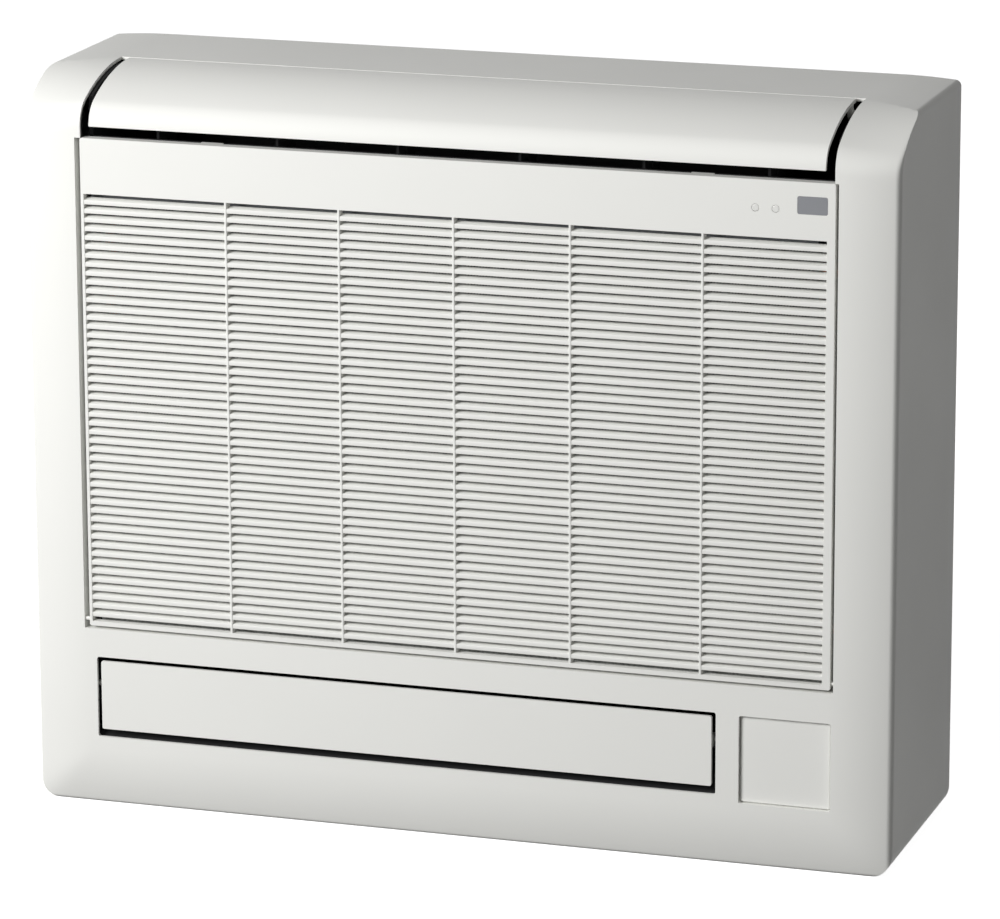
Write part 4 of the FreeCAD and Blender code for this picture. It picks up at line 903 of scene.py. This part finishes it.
@dataclass
class FrontCasing:
    """The white shell with the panel's bay, the brow's gap, the lower outlet and the service recess."""

    form: CasingForm
    panel: PanelFace = PanelFace()
    wall: float = 2.5 * MM
    gap: float = 2.5 * MM
    left_gap: float = 4.5 * MM
    brow_half: float = 307.5 * MM
    jamb_depth: float = 14 * MM
    outlet_left: float = -302.5 * MM
    outlet_right: float = 216.5 * MM
    outlet_top_gap: float = 3.5 * MM
    outlet_low_gap: float = 6.5 * MM
    outlet_corner: float = 2 * MM
    cover_gap: float = 0.8 * MM
    ledge: float = 6 * MM
    # How deep in the front wall the walls behind it begin
    skin_share: float = 0.75
    edge: float = 0.7 * MM
    edge_angle: float = 28.0

    @property
    def bay_left(self) -> float:
        """The left wall of the panel's bay."""
        return -self.panel.half - self.left_gap

    @property
    def bay_right(self) -> float:
        """The right wall of the panel's bay."""
        return self.panel.half + self.gap

    @property
    def sill(self) -> float:
        """The foot of the panel's bay."""
        return self.panel.bottom - self.gap

    @property
    def jamb_back(self) -> float:
        """How far back the walls of the bay reach."""
        return self.form.front + self.jamb_depth

    def recess(self) -> tuple[Point, Point, float]:
        """Where the service cover lies.

        Returns:
            The lower left and upper right corner in the front view, and the depth of the seat.
        """
        low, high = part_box("service_cover")
        gap = self.cover_gap
        return (low.x - gap, low.z - gap), (high.x + gap, high.z + gap), high.y

    def walls(self) -> list[bpy.types.Object]:
        """Make the walls round the bay and the box of the recess.

        Returns:
            The solids that the shell gets.
        """
        left, right, wall = self.bay_left, self.bay_right, self.wall
        back, top = self.jamb_back, self.panel.top
        skin = self.form.front + self.skin_share * wall
        under = self.sill - wall
        low, high, seat = self.recess()
        return [block("jamb_left", (left - wall, skin, under), (left, back, top)),
                block("jamb_right", (right, skin, under), (right + wall, back, top)),
                block("sill", (left, skin, under), (right, back, self.sill)),
                block("recess_box", (low[0] - wall, skin, low[1] - wall),
                      (high[0] + wall, seat + wall, high[1] + wall))]

    def openings(self) -> list[bpy.types.Object]:
        """Make what is cut out: the bay, the brow's gap, the lower outlet and the recess with its window.

        Returns:
            The solids that the shell loses.
        """
        ahead, brow_end, top = self.form.front - PAST, self.form.brow_end, self.panel.top
        flap_low, flap_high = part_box("lower_flap")
        outlet = rounded_rectangle(
            (self.outlet_left, flap_low.z - self.outlet_low_gap),
            (self.outlet_right, flap_high.z + self.outlet_top_gap), self.outlet_corner)
        low, high, seat = self.recess()
        recess = rounded_rectangle(low, high, self.outlet_corner)
        ledge = self.ledge
        return [block("bay", (self.bay_left, ahead, self.sill), (self.bay_right, brow_end, top)),
                block("brow_gap", (-self.brow_half, ahead, top - PAST),
                      (self.brow_half, brow_end, self.form.high.z + PAST)),
                prism("outlet", Plane.FRONT, outlet, ahead, self.jamb_back),
                prism("recess", Plane.FRONT, recess, ahead, seat),
                block("recess_window", (low[0] + ledge, ahead, low[1] + ledge),
                      (high[0] - ledge, seat + self.wall + PAST, high[1] - ledge))]

    def build(self) -> bpy.types.Object:
        """Make the shell and cut its openings.

        Returns:
            The casing.
        """
        form = self.form
        shell = form.solid("front_casing_shell", 0.0, form.high.y, 0.0)
        inner = form.solid("casing_inside", self.wall, form.high.y + PAST, -PAST)
        combine(shell, Join.DIFFERENCE, inner)
        combine(shell, Join.UNION, *self.walls())
        combine(shell, Join.DIFFERENCE, *self.openings())
        return soften(shell, self.edge, self.edge_angle)

    def dress(self) -> None:
        """Build the casing and put it in place of its node."""
        dress(self.build(), "chassis", "casing_white", WHITE_ABS.material(), "front_casing")


@dataclass
class ServiceCover:
    """The small cover low on the right, a plate with round corners."""

    corner: float = 1.6 * MM
    edge: float = 0.8 * MM

    def dress(self) -> None:
        """Build the cover and put it in place of its node."""
        low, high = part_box("service_cover")
        outline = box_face("service_cover", self.corner)
        plate = prism("service_cover_plate", Plane.FRONT, outline, low.y, high.y)
        dress(soften(plate, self.edge), "chassis", "casing_white", WHITE_ABS.material(), "service_cover")


def lens_circles() -> tuple[float, list[Point]]:
    """Where the two lamp lenses lie in the front view.

    Returns:
        Their radius and their centres.
    """
    low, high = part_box("lamp_lenses")
    radius = (high.z - low.z) / 2
    middle = (high.z + low.z) / 2
    return radius, [(low.x + radius, middle), (high.x - radius, middle)]


@dataclass
class InletPanel:
    """The hinged front panel: a plain band over a slatted grille, with ribs across the slats."""

    face: PanelFace = PanelFace()
    skin: float = 2.5 * MM
    rim_wall: float = 2 * MM
    left_margin: float = 2.5 * MM
    right_margin: float = 6.5 * MM
    bottom_margin: float = 3.5 * MM
    band: float = 43 * MM
    slats: int = 49
    slat_gap: float = 3.5 * MM
    slat_setback: float = 0.4 * MM
    slat_depth: float = 7 * MM
    slat_slope: float = 1.6 * MM
    nose: float = 0.5 * MM
    nose_steps: int = 3
    rib_width: float = 2 * MM
    # Where the ribs stand, in shares of the way from one reach to the other
    rib_reach: float = 300 * MM
    rib_shares: tuple[float, ...] = (0.19, 0.347, 0.504, 0.662, 0.839)
    rib_bite: float = 0.3 * MM
    lens_clearance: float = 0.1 * MM
    pin_setback: float = 2.8 * MM
    pin_rise: float = 5 * MM
    pin_radius: float = 1.5 * MM
    corner: float = 1.5 * MM
    edge: float = 0.6 * MM

    @property
    def grille_top(self) -> float:
        """Where the band ends and the grille begins."""
        return self.face.top - self.band

    @property
    def pitch(self) -> float:
        """The distance from slat to slat."""
        return (self.grille_top - self.face.bottom - self.bottom_margin) / self.slats

    @property
    def slot_low(self) -> float:
        """The lower edge of the grille's opening."""
        return self.face.bottom + self.bottom_margin + (self.pitch - self.slat_gap) / 2 - self.slat_slope

    @property
    def slot_high(self) -> float:
        """The upper edge of the grille's opening."""
        return self.grille_top - (self.pitch - self.slat_gap) / 2

    @property
    def left_end(self) -> float:
        """The grille's left end."""
        return self.left_margin - self.face.half

    @property
    def right_end(self) -> float:
        """The grille's right end."""
        return self.face.half - self.right_margin

    def build_frame(self) -> bpy.types.Object:
        """Make the band, the rims and the hinge pins.

        Returns:
            The frame with the grille's opening.
        """
        low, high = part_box("inlet_panel")
        front, back, face, rim = low.y, high.y, self.face, self.rim_wall
        ahead, beyond, inside = front - PAST, back + PAST, face.half - rim
        outline = rounded_rectangle((-face.half, face.bottom), (face.half, face.top), self.corner)
        plate = prism("inlet_panel_frame", Plane.FRONT, outline, front, back)
        radius, centres = lens_circles()
        seat = radius + self.lens_clearance
        combine(plate, Join.DIFFERENCE,
                block("band_hollow", (-inside, front + self.skin, self.grille_top + rim),
                      (inside, beyond, face.top - rim)),
                block("grille_hollow", (-inside, front + self.slat_depth, face.bottom - PAST),
                      (inside, beyond, self.grille_top)),
                block("grille_opening", (self.left_end, ahead, self.slot_low),
                      (self.right_end, beyond, self.slot_high)),
                prism("window_seat", Plane.FRONT, box_face("display_window", self.corner),
                      ahead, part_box("display_window")[1].y),
                *[rod(f"lens_seat_{index}", Plane.FRONT, centre, seat, ahead, beyond)
                  for index, centre in enumerate(centres)])
        pin = (front + self.pin_setback, face.bottom + self.pin_rise)
        root = face.half - rim / 2
        combine(plate, Join.UNION,
                rod("pin_left", Plane.SIDE, pin, self.pin_radius, low.x, -root),
                rod("pin_right", Plane.SIDE, pin, self.pin_radius, root, high.x))
        return soften(plate, self.edge)

    def slat_tree(self) -> bpy.types.NodeTree:
        """The tree that lays a column of sloping slats with round noses.

        Returns:
            The tree, with its sizes as named inputs.
        """
        tree, given = new_tree("grille_slats", {
            "Count": "Int", "Pitch": "Float", "Start": "Vector", "Length": "Float", "Front Low": "Vector",
            "Front High": "Vector", "Back High": "Vector", "Back Low": "Vector", "Nose": "Float",
            "Nose Steps": "Int", "Finish": "Material"})
        stack = add_node(tree, "ShaderNodeCombineXYZ", {"Z": given["Pitch"]})
        spots = add_node(tree, "GeometryNodeMeshLine", {
            "Count": given["Count"], "Start Location": given["Start"], "Offset": stack.outputs[0]})
        section = add_node(tree, "GeometryNodeCurvePrimitiveQuadrilateral", {
            "Point 1": given["Front Low"], "Point 2": given["Front High"], "Point 3": given["Back High"],
            "Point 4": given["Back Low"]}, mode="POINTS")
        rounded = add_node(tree, "GeometryNodeFilletCurve", {
            "Curve": section.outputs["Curve"], "Radius": given["Nose"], "Count": given["Nose Steps"],
            "Limit Radius": True}, mode="POLY")
        run = add_node(tree, "ShaderNodeCombineXYZ", {"X": given["Length"]})
        path = add_node(tree, "GeometryNodeCurvePrimitiveLine", {"End": run.outputs[0]})
        slat = add_node(tree, "GeometryNodeCurveToMesh", {
            "Curve": path.outputs["Curve"], "Profile Curve": rounded.outputs["Curve"], "Fill Caps": True})
        copies = add_node(tree, "GeometryNodeInstanceOnPoints", {
            "Points": spots.outputs["Mesh"], "Instance": slat.outputs["Mesh"]})
        end_tree(tree, copies.outputs["Instances"], given["Finish"])
        return tree

    def build_slats(self) -> bpy.types.Object:
        """Lay the slats between the slots.

        Returns:
            All the slats in one mesh.
        """
        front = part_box("inlet_panel")[0].y + self.slat_setback
        half = (self.pitch - self.slat_gap) / 2
        start = Vector((self.left_end, front, self.face.bottom + self.bottom_margin + self.pitch))
        return grow("grille_slats", self.slat_tree(), {
            "Count": self.slats - 1, "Pitch": self.pitch, "Start": start,
            "Length": self.right_end - self.left_end,
            "Front Low": section_point(0.0, -half - self.slat_slope),
            "Front High": section_point(0.0, half - self.slat_slope),
            "Back High": section_point(self.slat_depth, half),
            "Back Low": section_point(self.slat_depth, -half),
            "Nose": self.nose, "Nose Steps": self.nose_steps, "Finish": WHITE_ABS.material()})

    def rib_tree(self) -> bpy.types.NodeTree:
        """The tree that stands an upright bar on each of its points.

        Returns:
            The tree, with the bar's size as a named input.
        """
        tree, given = new_tree("grille_ribs", {"Spots": "Geometry", "Bar": "Vector", "Finish": "Material"})
        bar = add_node(tree, "GeometryNodeMeshCube", {"Size": given["Bar"]})
        copies = add_node(tree, "GeometryNodeInstanceOnPoints", {
            "Points": given["Spots"], "Instance": bar.outputs["Mesh"]})
        end_tree(tree, copies.outputs["Instances"], given["Finish"])
        return tree

    def build_ribs(self) -> bpy.types.Object:
        """Stand the ribs across the slats.

        Returns:
            The ribs in one mesh.
        """
        low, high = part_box("inlet_panel")
        y, z = (low.y + high.y) / 2, (self.slot_low + self.slot_high) / 2
        spots = [Vector((self.rib_reach * (2 * share - 1), y, z)) for share in self.rib_shares]
        height = self.slot_high - self.slot_low + 2 * self.rib_bite
        ribs = grow("grille_ribs", self.rib_tree(), {
            "Bar": Vector((self.rib_width, high.y - low.y, height)), "Finish": WHITE_ABS.material()}, spots)
        return soften(ribs, self.nose)

    def dress(self) -> None:
        """Build the panel's pieces and put them in place of its node."""
        white = WHITE_ABS.material()
        dress(self.build_frame(), "inlet_panel", "casing_white", white, "inlet_panel")
        dress(self.build_slats(), "inlet_panel", "casing_white", white)
        dress(self.build_ribs(), "inlet_panel", "casing_white", white)


@dataclass(frozen=True)
class Pivots:
    """What a flap turns on: at each end an ear with a round eye, and a pin that reaches into the casing."""

    ear_radius: float = 5 * MM
    ear_width: float = 3 * MM
    pin_radius: float = 2.5 * MM

    def build(self, axis: Point, ends: Point, tips: Point,
              ear: tuple[Point, Point]) -> list[bpy.types.Object]:
        """Make the eyes, ears and pins of both ends.

        Args:
            axis: The depth and height that the flap turns on.
            ends: The left and right end of its plate.
            tips: The left and right tip of its pins.
            ear: The lowest and highest depth and height of an ear.

        Returns:
            The solids.
        """
        pieces = []
        for side, end, tip, width in (("left", ends[0], tips[0], self.ear_width),
                                      ("right", ends[1], tips[1], -self.ear_width)):
            start, stop = sorted((end, end + width))
            pieces.append(rod(f"eye_{side}", Plane.SIDE, axis, self.ear_radius, start, stop))
            pieces.append(block(f"ear_{side}", (start, *ear[0]), (stop, *ear[1])))
            pieces.append(rod(f"pin_{side}", Plane.SIDE, axis, self.pin_radius, *sorted((end, tip))))
        return pieces


@dataclass
class UpperFlap:
    """The curved flap that makes the brow, with ears and pins at its pivots."""

    form: CasingForm
    pivots: Pivots = Pivots()
    half: float = 300 * MM
    thickness: float = 3 * MM
    seam: float = 1.8 * MM
    pivot_setback: float = 80 * MM
    pivot_drop: float = 10 * MM
    edge: float = 0.8 * MM

    def section(self) -> list[Point]:
        """The flap's section: the brow's line, and the same line set in by the thickness.

        Returns:
            The outline.
        """
        rear = self.form.brow_end - self.seam
        outer = [point for point in self.form.brow(0.0) if point[0] < rear]
        inner = [point for point in self.form.brow(self.thickness) if point[0] < rear]
        top = self.form.brow(0.0)[0][1]
        return [(rear, top), *outer, *reversed(inner), (rear, top - self.thickness)]

    def build(self) -> bpy.types.Object:
        """Make the flap.

        Returns:
            The flap with its ears and pins.
        """
        low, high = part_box("upper_flap")
        plate = prism("upper_flap_plate", Plane.SIDE, self.section(), -self.half, self.half)
        top, reach = self.form.high.z, self.pivots.ear_radius / 2
        y, z = self.form.front + self.pivot_setback, top - self.pivot_drop
        ear = (y - reach, z), (y + reach, top - self.thickness / 2)
        combine(plate, Join.UNION,
                *self.pivots.build((y, z), (-self.half, self.half), (low.x, high.x), ear))
        return soften(plate, self.edge)

    def dress(self) -> None:
        """Build the flap and put it in place of its node."""
        dress(self.build(), "upper_flap", "casing_white", WHITE_ABS.material(), "upper_flap")


@dataclass
class LowerFlap:
    """The flat flap of the lower outlet, with ears and pins behind it."""

    pivots: Pivots = Pivots()
    left: float = -299 * MM
    right: float = 213 * MM
    bottom: float = 64.5 * MM
    top: float = 121.5 * MM
    thickness: float = 3 * MM
    corner: float = 1.5 * MM
    pivot_setback: float = 12 * MM
    pivot_z: float = 100 * MM
    edge: float = 0.9 * MM

    def build(self) -> bpy.types.Object:
        """Make the flap.

        Returns:
            The flap with its ears and pins.
        """
        low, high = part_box("lower_flap")
        outline = rounded_rectangle((self.left, self.bottom), (self.right, self.top), self.corner)
        plate = prism("lower_flap_plate", Plane.FRONT, outline, low.y, low.y + self.thickness)
        y, z, reach = low.y + self.pivot_setback, self.pivot_z, self.pivots.ear_radius
        ear = (low.y + self.thickness / 2, z - reach), (y, z + reach)
        combine(plate, Join.UNION,
                *self.pivots.build((y, z), (self.left, self.right), (low.x, high.x), ear))
        return soften(plate, self.edge)

    def dress(self) -> None:
        """Build the flap and put it in place of its node."""
        dress(self.build(), "lower_flap", "casing_white", WHITE_ABS.material(), "lower_flap")


@dataclass
class Display:
    """The smoked window and the two lamp lenses in the panel's band."""

    corner: float = 1.5 * MM
    edge: float = 0.3 * MM
    dome: float = 0.8 * MM

    def dress(self) -> None:
        """Build the window and the lenses and put them in place of their nodes."""
        low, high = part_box("display_window")
        outline = box_face("display_window", self.corner)
        pane = soften(prism("display_window_pane", Plane.FRONT, outline, low.y, high.y), self.edge)
        dress(pane, "inlet_panel", "window_smoke", SMOKED_ACRYLIC.material(), "display_window")
        low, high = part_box("lamp_lenses")
        radius, centres = lens_circles()
        lenses = [rod(f"lens_{index}", Plane.FRONT, centre, radius, low.y, high.y)
                  for index, centre in enumerate(centres)]
        pair = combine(lenses[0], Join.UNION, lenses[1])
        pair.name = "lamp_lens_pair"
        dress(soften(pair, self.dome), "inlet_panel", "lamp_clear", CLEAR_LENS.material(), "lamp_lenses")


@dataclass
class AirFilters:
    """The woven mesh that is stretched in the two filter frames."""

    thread: float = 0.35 * MM
    thread_sides: int = 4
    spacing: float = 2.4 * MM

    def mesh_tree(self) -> bpy.types.NodeTree:
        """The tree that lays threads both ways over a rectangle.

        Returns:
            The tree, with its sizes as named inputs.
        """
        tree, given = new_tree("filter_mesh", {
            "Low": "Vector", "Columns": "Int", "Rows": "Int", "Column Step": "Vector", "Row Step": "Vector",
            "Width": "Vector", "Height": "Vector", "Thread": "Float", "Thread Sides": "Int",
            "Finish": "Material"})
        round_thread = add_node(tree, "GeometryNodeCurvePrimitiveCircle", {
            "Radius": given["Thread"], "Resolution": given["Thread Sides"]})
        joined = add_node(tree, "GeometryNodeJoinGeometry")
        for count, step, run in (("Columns", "Column Step", "Height"), ("Rows", "Row Step", "Width")):
            spots = add_node(tree, "GeometryNodeMeshLine", {
                "Count": given[count], "Start Location": given["Low"], "Offset": given[step]})
            path = add_node(tree, "GeometryNodeCurvePrimitiveLine", {"End": given[run]})
            thread = add_node(tree, "GeometryNodeCurveToMesh", {
                "Curve": path.outputs["Curve"], "Profile Curve": round_thread.outputs["Curve"],
                "Fill Caps": True})
            copies = add_node(tree, "GeometryNodeInstanceOnPoints", {
                "Points": spots.outputs["Mesh"], "Instance": thread.outputs["Mesh"]})
            tree.links.new(copies.outputs["Instances"], joined.inputs["Geometry"])
        end_tree(tree, joined.outputs["Geometry"], given["Finish"])
        return tree

    def dress(self) -> None:
        """Lay the mesh in both frames."""
        tree = self.mesh_tree()
        finish = FILTER_PP.material()
        for node in ("filter_left", "filter_right"):
            low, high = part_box(node)
            width, height = high.x - low.x, high.z - low.z
            columns, rows = int(width / self.spacing), int(height / self.spacing)
            mesh = grow(f"{node}_mesh", tree, {
                "Low": Vector((low.x, (low.y + high.y) / 2, low.z)), "Columns": columns, "Rows": rows,
                "Column Step": Vector((width / (columns - 1), 0, 0)),
                "Row Step": Vector((0, 0, height / (rows - 1))),
                "Width": Vector((width, 0, 0)), "Height": Vector((0, 0, height)),
                "Thread": self.thread, "Thread Sides": self.thread_sides, "Finish": finish})
            dress(mesh, "chassis", "filter_grey", finish)


@dataclass
class FinPack:
    """The heat exchanger's fins, at the close spacing of the real pack."""

    pitch: float = 1.9 * MM
    thickness: float = 0.2 * MM

    def fin_tree(self) -> bpy.types.NodeTree:
        """The tree that sets a row of thin upright plates.

        Returns:
            The tree, with its sizes as named inputs.
        """
        tree, given = new_tree("fin_row", {
            "Start": "Vector", "Step": "Vector", "Count": "Int", "Plate": "Vector", "Finish": "Material"})
        spots = add_node(tree, "GeometryNodeMeshLine", {
            "Count": given["Count"], "Start Location": given["Start"], "Offset": given["Step"]})
        plate = add_node(tree, "GeometryNodeMeshCube", {"Size": given["Plate"]})
        copies = add_node(tree, "GeometryNodeInstanceOnPoints", {
            "Points": spots.outputs["Mesh"], "Instance": plate.outputs["Mesh"]})
        end_tree(tree, copies.outputs["Instances"], given["Finish"])
        return tree

    def dress(self) -> None:
        """Set the fins in place of their node."""
        low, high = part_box("evaporator_fins")
        middle, size = (low + high) / 2, high - low
        count = int(size.x / self.pitch)
        step = (size.x - self.thickness) / (count - 1)
        finish = FIN_ALUMINIUM.material()
        fins = grow("evaporator_fin_pack", self.fin_tree(), {
            "Start": Vector((low.x + self.thickness / 2, middle.y, middle.z)), "Step": Vector((step, 0, 0)),
            "Count": count, "Plate": Vector((self.thickness, size.y, size.z)), "Finish": finish})
        dress(fins, "chassis", "fin_aluminium", finish, "evaporator_fins")


@dataclass
class InnerParts:
    """The pieces that keep the shape of their solids and get the finish of their slot."""

    finishes: dict[str, Finish] = field(default_factory=lambda: {
        "casing_white": WHITE_ABS, "window_smoke": SMOKED_ACRYLIC, "lamp_clear": CLEAR_LENS,
        "chassis_black": BLACK_ABS, "pan_zinc": ZINC_SHEET, "filter_grey": FILTER_PP,
        "fin_aluminium": FIN_ALUMINIUM, "tube_copper": TUBE_COPPER, "foam_grey": DRAIN_FOAM,
        "fan_grey": FAN_STYRENE, "steel_bright": BRIGHT_STEEL, "motor_can": MOTOR_ZINC,
        "bush_rubber": BUSH_RUBBER, "board_green": BOARD_LACQUER, "terminal_black": TERMINAL_PHENOLIC,
        "nut_brass": NUT_BRASS, "button_grey": BUTTON_ABS})

    def dress(self) -> None:
        """Give every node that is still shown the finish of its slot."""
        for row in frame["record"]["subparts"]:
            node = frame["nodes"][row["node"]]
            if node.hide_render:
                continue
            material = self.finishes[row["material_slot"]].material()
            node.data.materials.clear()
            node.data.materials.append(material)
            log.info("%s: %s", row["node"], material.name)


@dataclass(frozen=True)
class Lamp:
    """A soft box: where it stands, its power, what it points at and its size."""

    name: str
    place: Place
    power: float
    aim: Place = (0.0, 0.0, 0.35)
    size: float = 1.2

    def light(self) -> None:
        """Put the lamp into the scene."""
        data = bpy.data.lights.new(self.name, "AREA")
        data.shape = "SQUARE"
        data.size = self.size
        data.energy = self.power
        item = bpy.data.objects.new(self.name, data)
        bpy.context.scene.collection.objects.link(item)
        item.location = self.place
        back = Vector(self.place) - Vector(self.aim)
        item.rotation_mode = "QUATERNION"
        item.rotation_quaternion = back.to_track_quat("Z", "Y")


@dataclass
class Studio:
    """A pale floor under a white surround, soft lamps and the camera."""

    floor_size: float = 30.0
    floor_colour: str = "#f4f4f2"
    floor_bounce: str = "#30302f"
    floor_roughness: float = 0.9
    floor_glow: float = 0.9
    white: str = "#ffffff"
    surround: float = 0.125
    lamps: tuple[Lamp, ...] = (
        Lamp("key_soft_box", (-1.5, -2.1, 1.44), 82.2), Lamp("fill_soft_box", (1.8, -1.5, 0.8), 4.9))
    # The camera is fitted to the edges in the photograph
    camera_place: Place = (1.3554, -4.1584, 1.4129)
    camera_yaw: float = 17.956
    camera_pitch: float = 14.426
    camera_roll: float = -0.179
    camera_lens: float = 203.03
    camera_sensor: float = 36.0
    camera_reach: float = 100.0

    def seen_directly(self, tree: bpy.types.NodeTree) -> bpy.types.NodeSocket:
        """A mask of the rays that show the surround: straight on, by reflection or through clear plastic.

        Args:
            tree: The tree that gets the nodes.

        Returns:
            One for such a ray, zero for light that falls on the object.
        """
        rays = add_node(tree, "ShaderNodeLightPath").outputs
        mask = rays["Is Camera Ray"]
        for kind in ("Is Glossy Ray", "Is Transmission Ray"):
            either = add_node(tree, "ShaderNodeMath", {0: mask, 1: rays[kind]}, operation="MAXIMUM")
            mask = either.outputs["Value"]
        return mask

    def build_surround(self) -> None:
        """Make the world: white to look at, plainly lit for the object."""
        world = bpy.data.worlds.new("white_surround")
        world.use_nodes = True
        tree = world.node_tree
        strength = add_node(tree, "ShaderNodeMapRange", {
            "Value": self.seen_directly(tree), "To Min": self.surround, "To Max": 1.0})
        shown = tree.nodes["Background"]
        shown.inputs["Color"].default_value = linear(self.white)
        tree.links.new(strength.outputs["Result"], shown.inputs["Strength"])
        bpy.context.scene.world = world

    def build_floor(self) -> None:
        """Lay the floor, which is white to look at and keeps the object's shadow."""
        half = self.floor_size / 2
        corners = [(-half, -half, 0), (half, -half, 0), (half, half, 0), (-half, half, 0)]
        mesh = bpy.data.meshes.new("studio_floor")
        mesh.from_pydata(corners, [], [range(len(corners))])
        floor = new_object("studio_floor", mesh)
        material = bpy.data.materials.new("pale_studio_paper")
        material.use_nodes = True
        tree = material.node_tree
        paper = tree.nodes["Principled BSDF"]
        seen = self.seen_directly(tree)
        tone = add_node(tree, "ShaderNodeMix", {
            MIX_FACTOR: seen, MIX_FIRST: linear(self.floor_bounce), MIX_SECOND: linear(self.floor_colour)},
            data_type="RGBA")
        tree.links.new(tone.outputs[MIX_RESULT], paper.inputs["Base Color"])
        paper.inputs["Roughness"].default_value = self.floor_roughness
        paper.inputs["Specular IOR Level"].default_value = 0.0
        glow = add_node(tree, "ShaderNodeMath", {0: seen, 1: self.floor_glow}, operation="MULTIPLY")
        paper.inputs["Emission Color"].default_value = linear(self.white)
        tree.links.new(glow.outputs[0], paper.inputs["Emission Strength"])
        mesh.materials.append(material)

    def build_camera(self) -> None:
        """Stand the camera where the photograph was taken from."""
        data = bpy.data.cameras.new("camera")
        data.lens = self.camera_lens
        data.sensor_width = self.camera_sensor
        data.sensor_fit = "HORIZONTAL"
        data.clip_end = self.camera_reach
        camera = bpy.data.objects.new("camera", data)
        bpy.context.scene.collection.objects.link(camera)
        yaw, pitch, roll = (math.radians(a) for a in (self.camera_yaw, self.camera_pitch, self.camera_roll))
        turn = Matrix.Rotation(yaw, 4, "Z") @ Matrix.Rotation(math.pi / 2 - pitch, 4, "X")
        camera.matrix_world = Matrix.Translation(self.camera_place) @ turn @ Matrix.Rotation(roll, 4, "Z")
        bpy.context.scene.camera = camera

    def build(self) -> None:
        """Set up everything round the object."""
        self.build_surround()
        self.build_floor()
        for lamp in self.lamps:
            lamp.light()
        self.build_camera()
        bpy.context.scene.view_settings.view_transform = "Standard"


def main() -> None:
    """Build the console's pieces, dress the rest and set up the studio."""
    logging.basicConfig(level=logging.INFO, format="%(name)s %(message)s")
    form = CasingForm(*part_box("front_casing"))
    for part in (FrontCasing(form), ServiceCover(), InletPanel(), Display(), UpperFlap(form), LowerFlap(),
                 AirFilters(), FinPack(), InnerParts()):
        part.dress()
    Studio().build()


if __name__ == "__main__":
    main()
